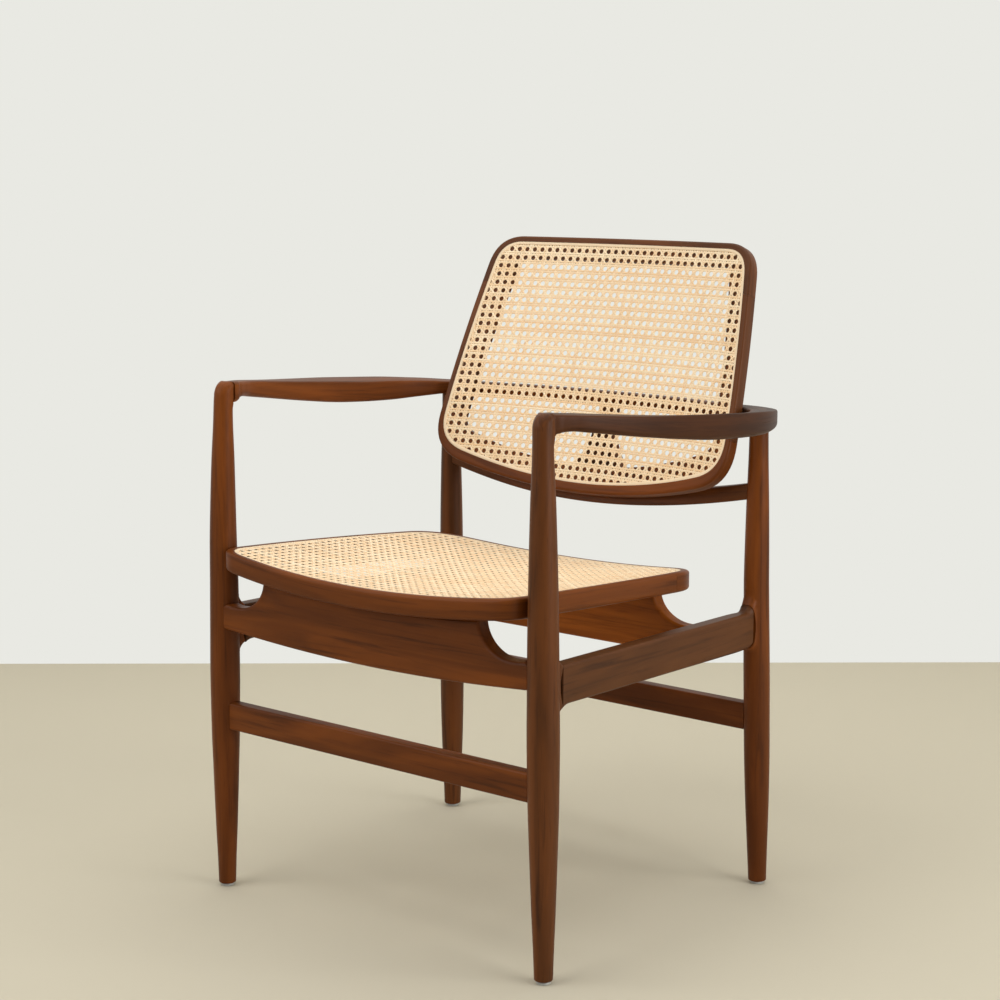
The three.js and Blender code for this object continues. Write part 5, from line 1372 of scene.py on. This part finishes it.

# %% [markdown]
# ## Dress the frame
# Each new piece rides on the one body and stands for its solid. The pieces could be told apart by their names
# alone, but a short table of finishes says it more plainly: what it doesn't list is the dark wood. The table
# paints light and shade on top of the wood's own tone: the warm and the bright mixture are partly warmer wood
# and partly painted light, the deep and the grey one painted shade, the grey one with a painted sheen. What
# stays as a solid, the hidden dowels and the screws, gets its finish here too.

# %% Dress
# Pieces with the warm mixture: partly wood of a warmer tone, partly pieces that stand in light, so partly
# painted light.
WARM_AND_LIT = ["back_frame_lower", "back_leg_right", "front_apron", "front_stretcher", "rear_stretcher",
        "arm_cross_rail", "seat_frame_front", "seat_frame_rear", "seat_frame_side_left",
        "seat_frame_side_right", "front_leg_left", "arm_left"]
# The rear apron's bright mixture is partly painted light under the seat. The side rails' grey mixture is
# painted shade with a painted sheen, and the right arm's deep mixture is painted shade.
finish_of = {**dict.fromkeys(WARM_AND_LIT, warm_and_lit_wood), "rear_apron": bright_and_lit_wood, "side_rail_left": grey_shaded_sheen_wood,
             "side_rail_right": grey_shaded_sheen_wood, "arm_right": deep_shaded_wood}


def dress(obj, nodes, slot, material):
    """Give a piece its material and its body, and hide the solids that it stands for. The slot is not used."""
    obj.data.materials.append(material)
    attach(obj, "root")
    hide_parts(*nodes)


for node, obj in wood_pieces:
    material = finish_of.get(node, dark_wood)
    dress(obj, [node], "wood_warm" if material in (warm_and_lit_wood, bright_and_lit_wood) else "wood_dark", material)
for node, strands in (("seat_cane", seat_cane), ("back_cane", back_cane)):
    for obj in strands:
        dress(obj, [node], "cane", cane_skin)
dress(seat_strip, ["seat_spline"], "cane_strip", strip_skin)
dress(back_strip, ["back_spline"], "cane_strip", strip_skin)
for node, obj, slot in plain_pieces:
    dress(obj, [node], slot, glide_plastic)
for name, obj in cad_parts.items():
    if "dowel" in name or "screw" in name:
        obj.data.materials.clear()
        obj.data.materials.append(dowel_wood if "dowel" in name else screw_steel)
print("dressed", len(wood_pieces) + len(seat_cane) + len(back_cane) + 2 + len(plain_pieces), "pieces")

# %% [markdown]
# ## Floor, backdrop and light
# The floor takes the chair's shadow and the backdrop is a plain pale wall. A picture of a room as
# surroundings would light the chair too, but it can't be tuned lamp by lamp. The light is a broad soft window
# on one side, a weaker one on the other and an even glow all round. The wall shows one pale tone to the
# camera, so that it stays as even as in the photograph, and it is looked through from behind, so that the
# chair can be seen from there as well.

# %% Stage
CAMERA_PLACE = np.array([1728, -1836, 947]) * MM + np.array([0, FRONT_Y, 0])
CAMERA_YAW, CAMERA_PITCH, CAMERA_ROLL = (math.radians(a) for a in (39.84, 9.38, -0.09))
FOCAL_PIXELS, FRAME_PIXELS, SENSOR = 2162, 1000, 36.0
# How far off the wall stands, how far the floor runs in front of it and behind it, the stage's half width and
# the wall's height, all in metres
WALL_AWAY, FLOOR_NEAR, FLOOR_PAST, STAGE_HALF, WALL_HIGH = 3.887, 9, 4, 7, 6

heading = np.array([-math.sin(CAMERA_YAW), math.cos(CAMERA_YAW)])
beside = np.array([math.cos(CAMERA_YAW), math.sin(CAMERA_YAW)])


def plane(name, first, second, rise, material):
    """Flat sheet for the stage, from one line across the view to another that stands higher by a rise."""
    ends = [(first, -1, 0), (first, 1, 0), (second, 1, rise), (second, -1, rise)]
    corners = [(*(place + beside * STAGE_HALF * side), height) for place, side, height in ends]
    obj = new_mesh_object(name, np.array(corners), [np.array([[0, 1, 2, 3]])])
    obj.data.materials.append(material)
    return obj


def stage_material(name, colour, shown=None):
    """Matt surface. With a shown colour the camera sees that in front, and looks through from behind."""
    material, tree = empty_material(name)
    surface = Sock.node(tree, "ShaderNodeBsdfPrincipled", sockets={
        "Base Color": colour, "Roughness": 0.9, "Specular IOR Level": 0.1})
    if shown is not None:
        by_camera = Sock.node(tree, "ShaderNodeLightPath", output="Is Camera Ray")
        seen = by_camera.maths("MAXIMUM", by_camera, by_camera.out("Is Glossy Ray"))
        seen = seen.maths("MAXIMUM", seen, by_camera.out("Is Transmission Ray"))
        glow = Sock.node(tree, "ShaderNodeEmission", sockets={"Color": shown})
        surface = Sock.node(tree, "ShaderNodeMixShader", sockets={0: seen, 1: surface, 2: glow})
        behind = Sock.node(tree, "ShaderNodeNewGeometry", output="Backfacing") * by_camera
        nothing = Sock.node(tree, "ShaderNodeBsdfTransparent")
        surface = Sock.node(tree, "ShaderNodeMixShader", sockets={0: behind, 1: surface, 2: nothing})
    Sock.node(tree, "ShaderNodeOutputMaterial", sockets={"Surface": surface})
    return material


wall_foot = CAMERA_PLACE[:2] + heading * WALL_AWAY
floor_skin = stage_material("floor_skin", srgb(201, 193, 172))
wall_skin = stage_material("wall_skin", srgb(225, 225, 220), srgb(233, 233, 227))
plane("floor", wall_foot - heading * FLOOR_NEAR, wall_foot + heading * FLOOR_PAST, 0, floor_skin)
plane("backdrop", wall_foot, wall_foot, WALL_HIGH, wall_skin)

print("wall stands at", wall_foot.round(3))

# %% [markdown]
# ## Lamps
# The photograph's shadows are soft and faint, so no small lamp fits. A sun would throw edges. Large
# rectangles of light, each turned to face the chair, give shadows that fade with distance as a window does.

# %% Light
def soft_light(name, place, target, wide, high, power):
    """Rectangular lamp at a place that faces a target."""
    lamp = bpy.data.lights.new(name, "AREA")
    lamp.shape, lamp.size, lamp.size_y = "RECTANGLE", wide, high
    lamp.energy = power
    obj = bpy.data.objects.new(name, lamp)
    bpy.context.scene.collection.objects.link(obj)
    way = unit(np.asarray(target, float) - place)
    side = unit(np.cross(way, [0, 0, 1.0]))
    up = np.cross(side, way)
    obj.location = place
    obj.rotation_euler = mathutils.Matrix(np.stack([side, up, -way], axis=1).tolist()).to_euler()
    return obj


middle = np.array([0, 0, 0.4])
ahead = np.array([*heading, 0.0])
aside = np.array([*beside, 0.0])
soft_light("window", middle - ahead * 1.2 - aside * 2.6 + [0, 0, 1.6], middle, 2.6, 2.2, 42)
soft_light("fill", middle - ahead * 1.6 + aside * 2.6 + [0, 0, 0.9], middle, 2.0, 2.0, 58)
soft_light("ceiling", middle + [0, 0, 2.4], middle, 3.0, 3.0, 46)

world = bpy.data.worlds.new("room_glow")
bpy.context.scene.world = world
world.use_nodes = True
world.node_tree.nodes["Background"].inputs["Color"].default_value = (1, 1, 1, 1)
world.node_tree.nodes["Background"].inputs["Strength"].default_value = 0.28
bpy.context.scene.view_settings.view_transform = "Standard"
print("lamps", len(bpy.data.lights))

# %% [markdown]
# ## Camera
# The camera stands where the photograph was taken from. One could set it by eye until the picture looks
# right. Here it was fitted to the chair's own points, so that a leg's foot and an arm's hook both fall where
# the photograph has them. The focal length in pixels becomes a lens by the sensor's width over the picture's
# width.

# %% Camera
camera = bpy.data.cameras.new("camera")
camera.sensor_width = SENSOR
camera.lens = FOCAL_PIXELS * SENSOR / FRAME_PIXELS
camera_object = bpy.data.objects.new("camera", camera)
bpy.context.scene.collection.objects.link(camera_object)
camera_object.location = CAMERA_PLACE
rotation = mathutils.Matrix.Rotation
turn = rotation(CAMERA_YAW, 3, "Z") @ rotation(math.pi / 2 - CAMERA_PITCH, 3, "X")
turn = turn @ rotation(CAMERA_ROLL, 3, "Z")
camera_object.rotation_euler = turn.to_euler()
bpy.context.scene.camera = camera_object
print("lens", round(camera.lens, 2), "mm")
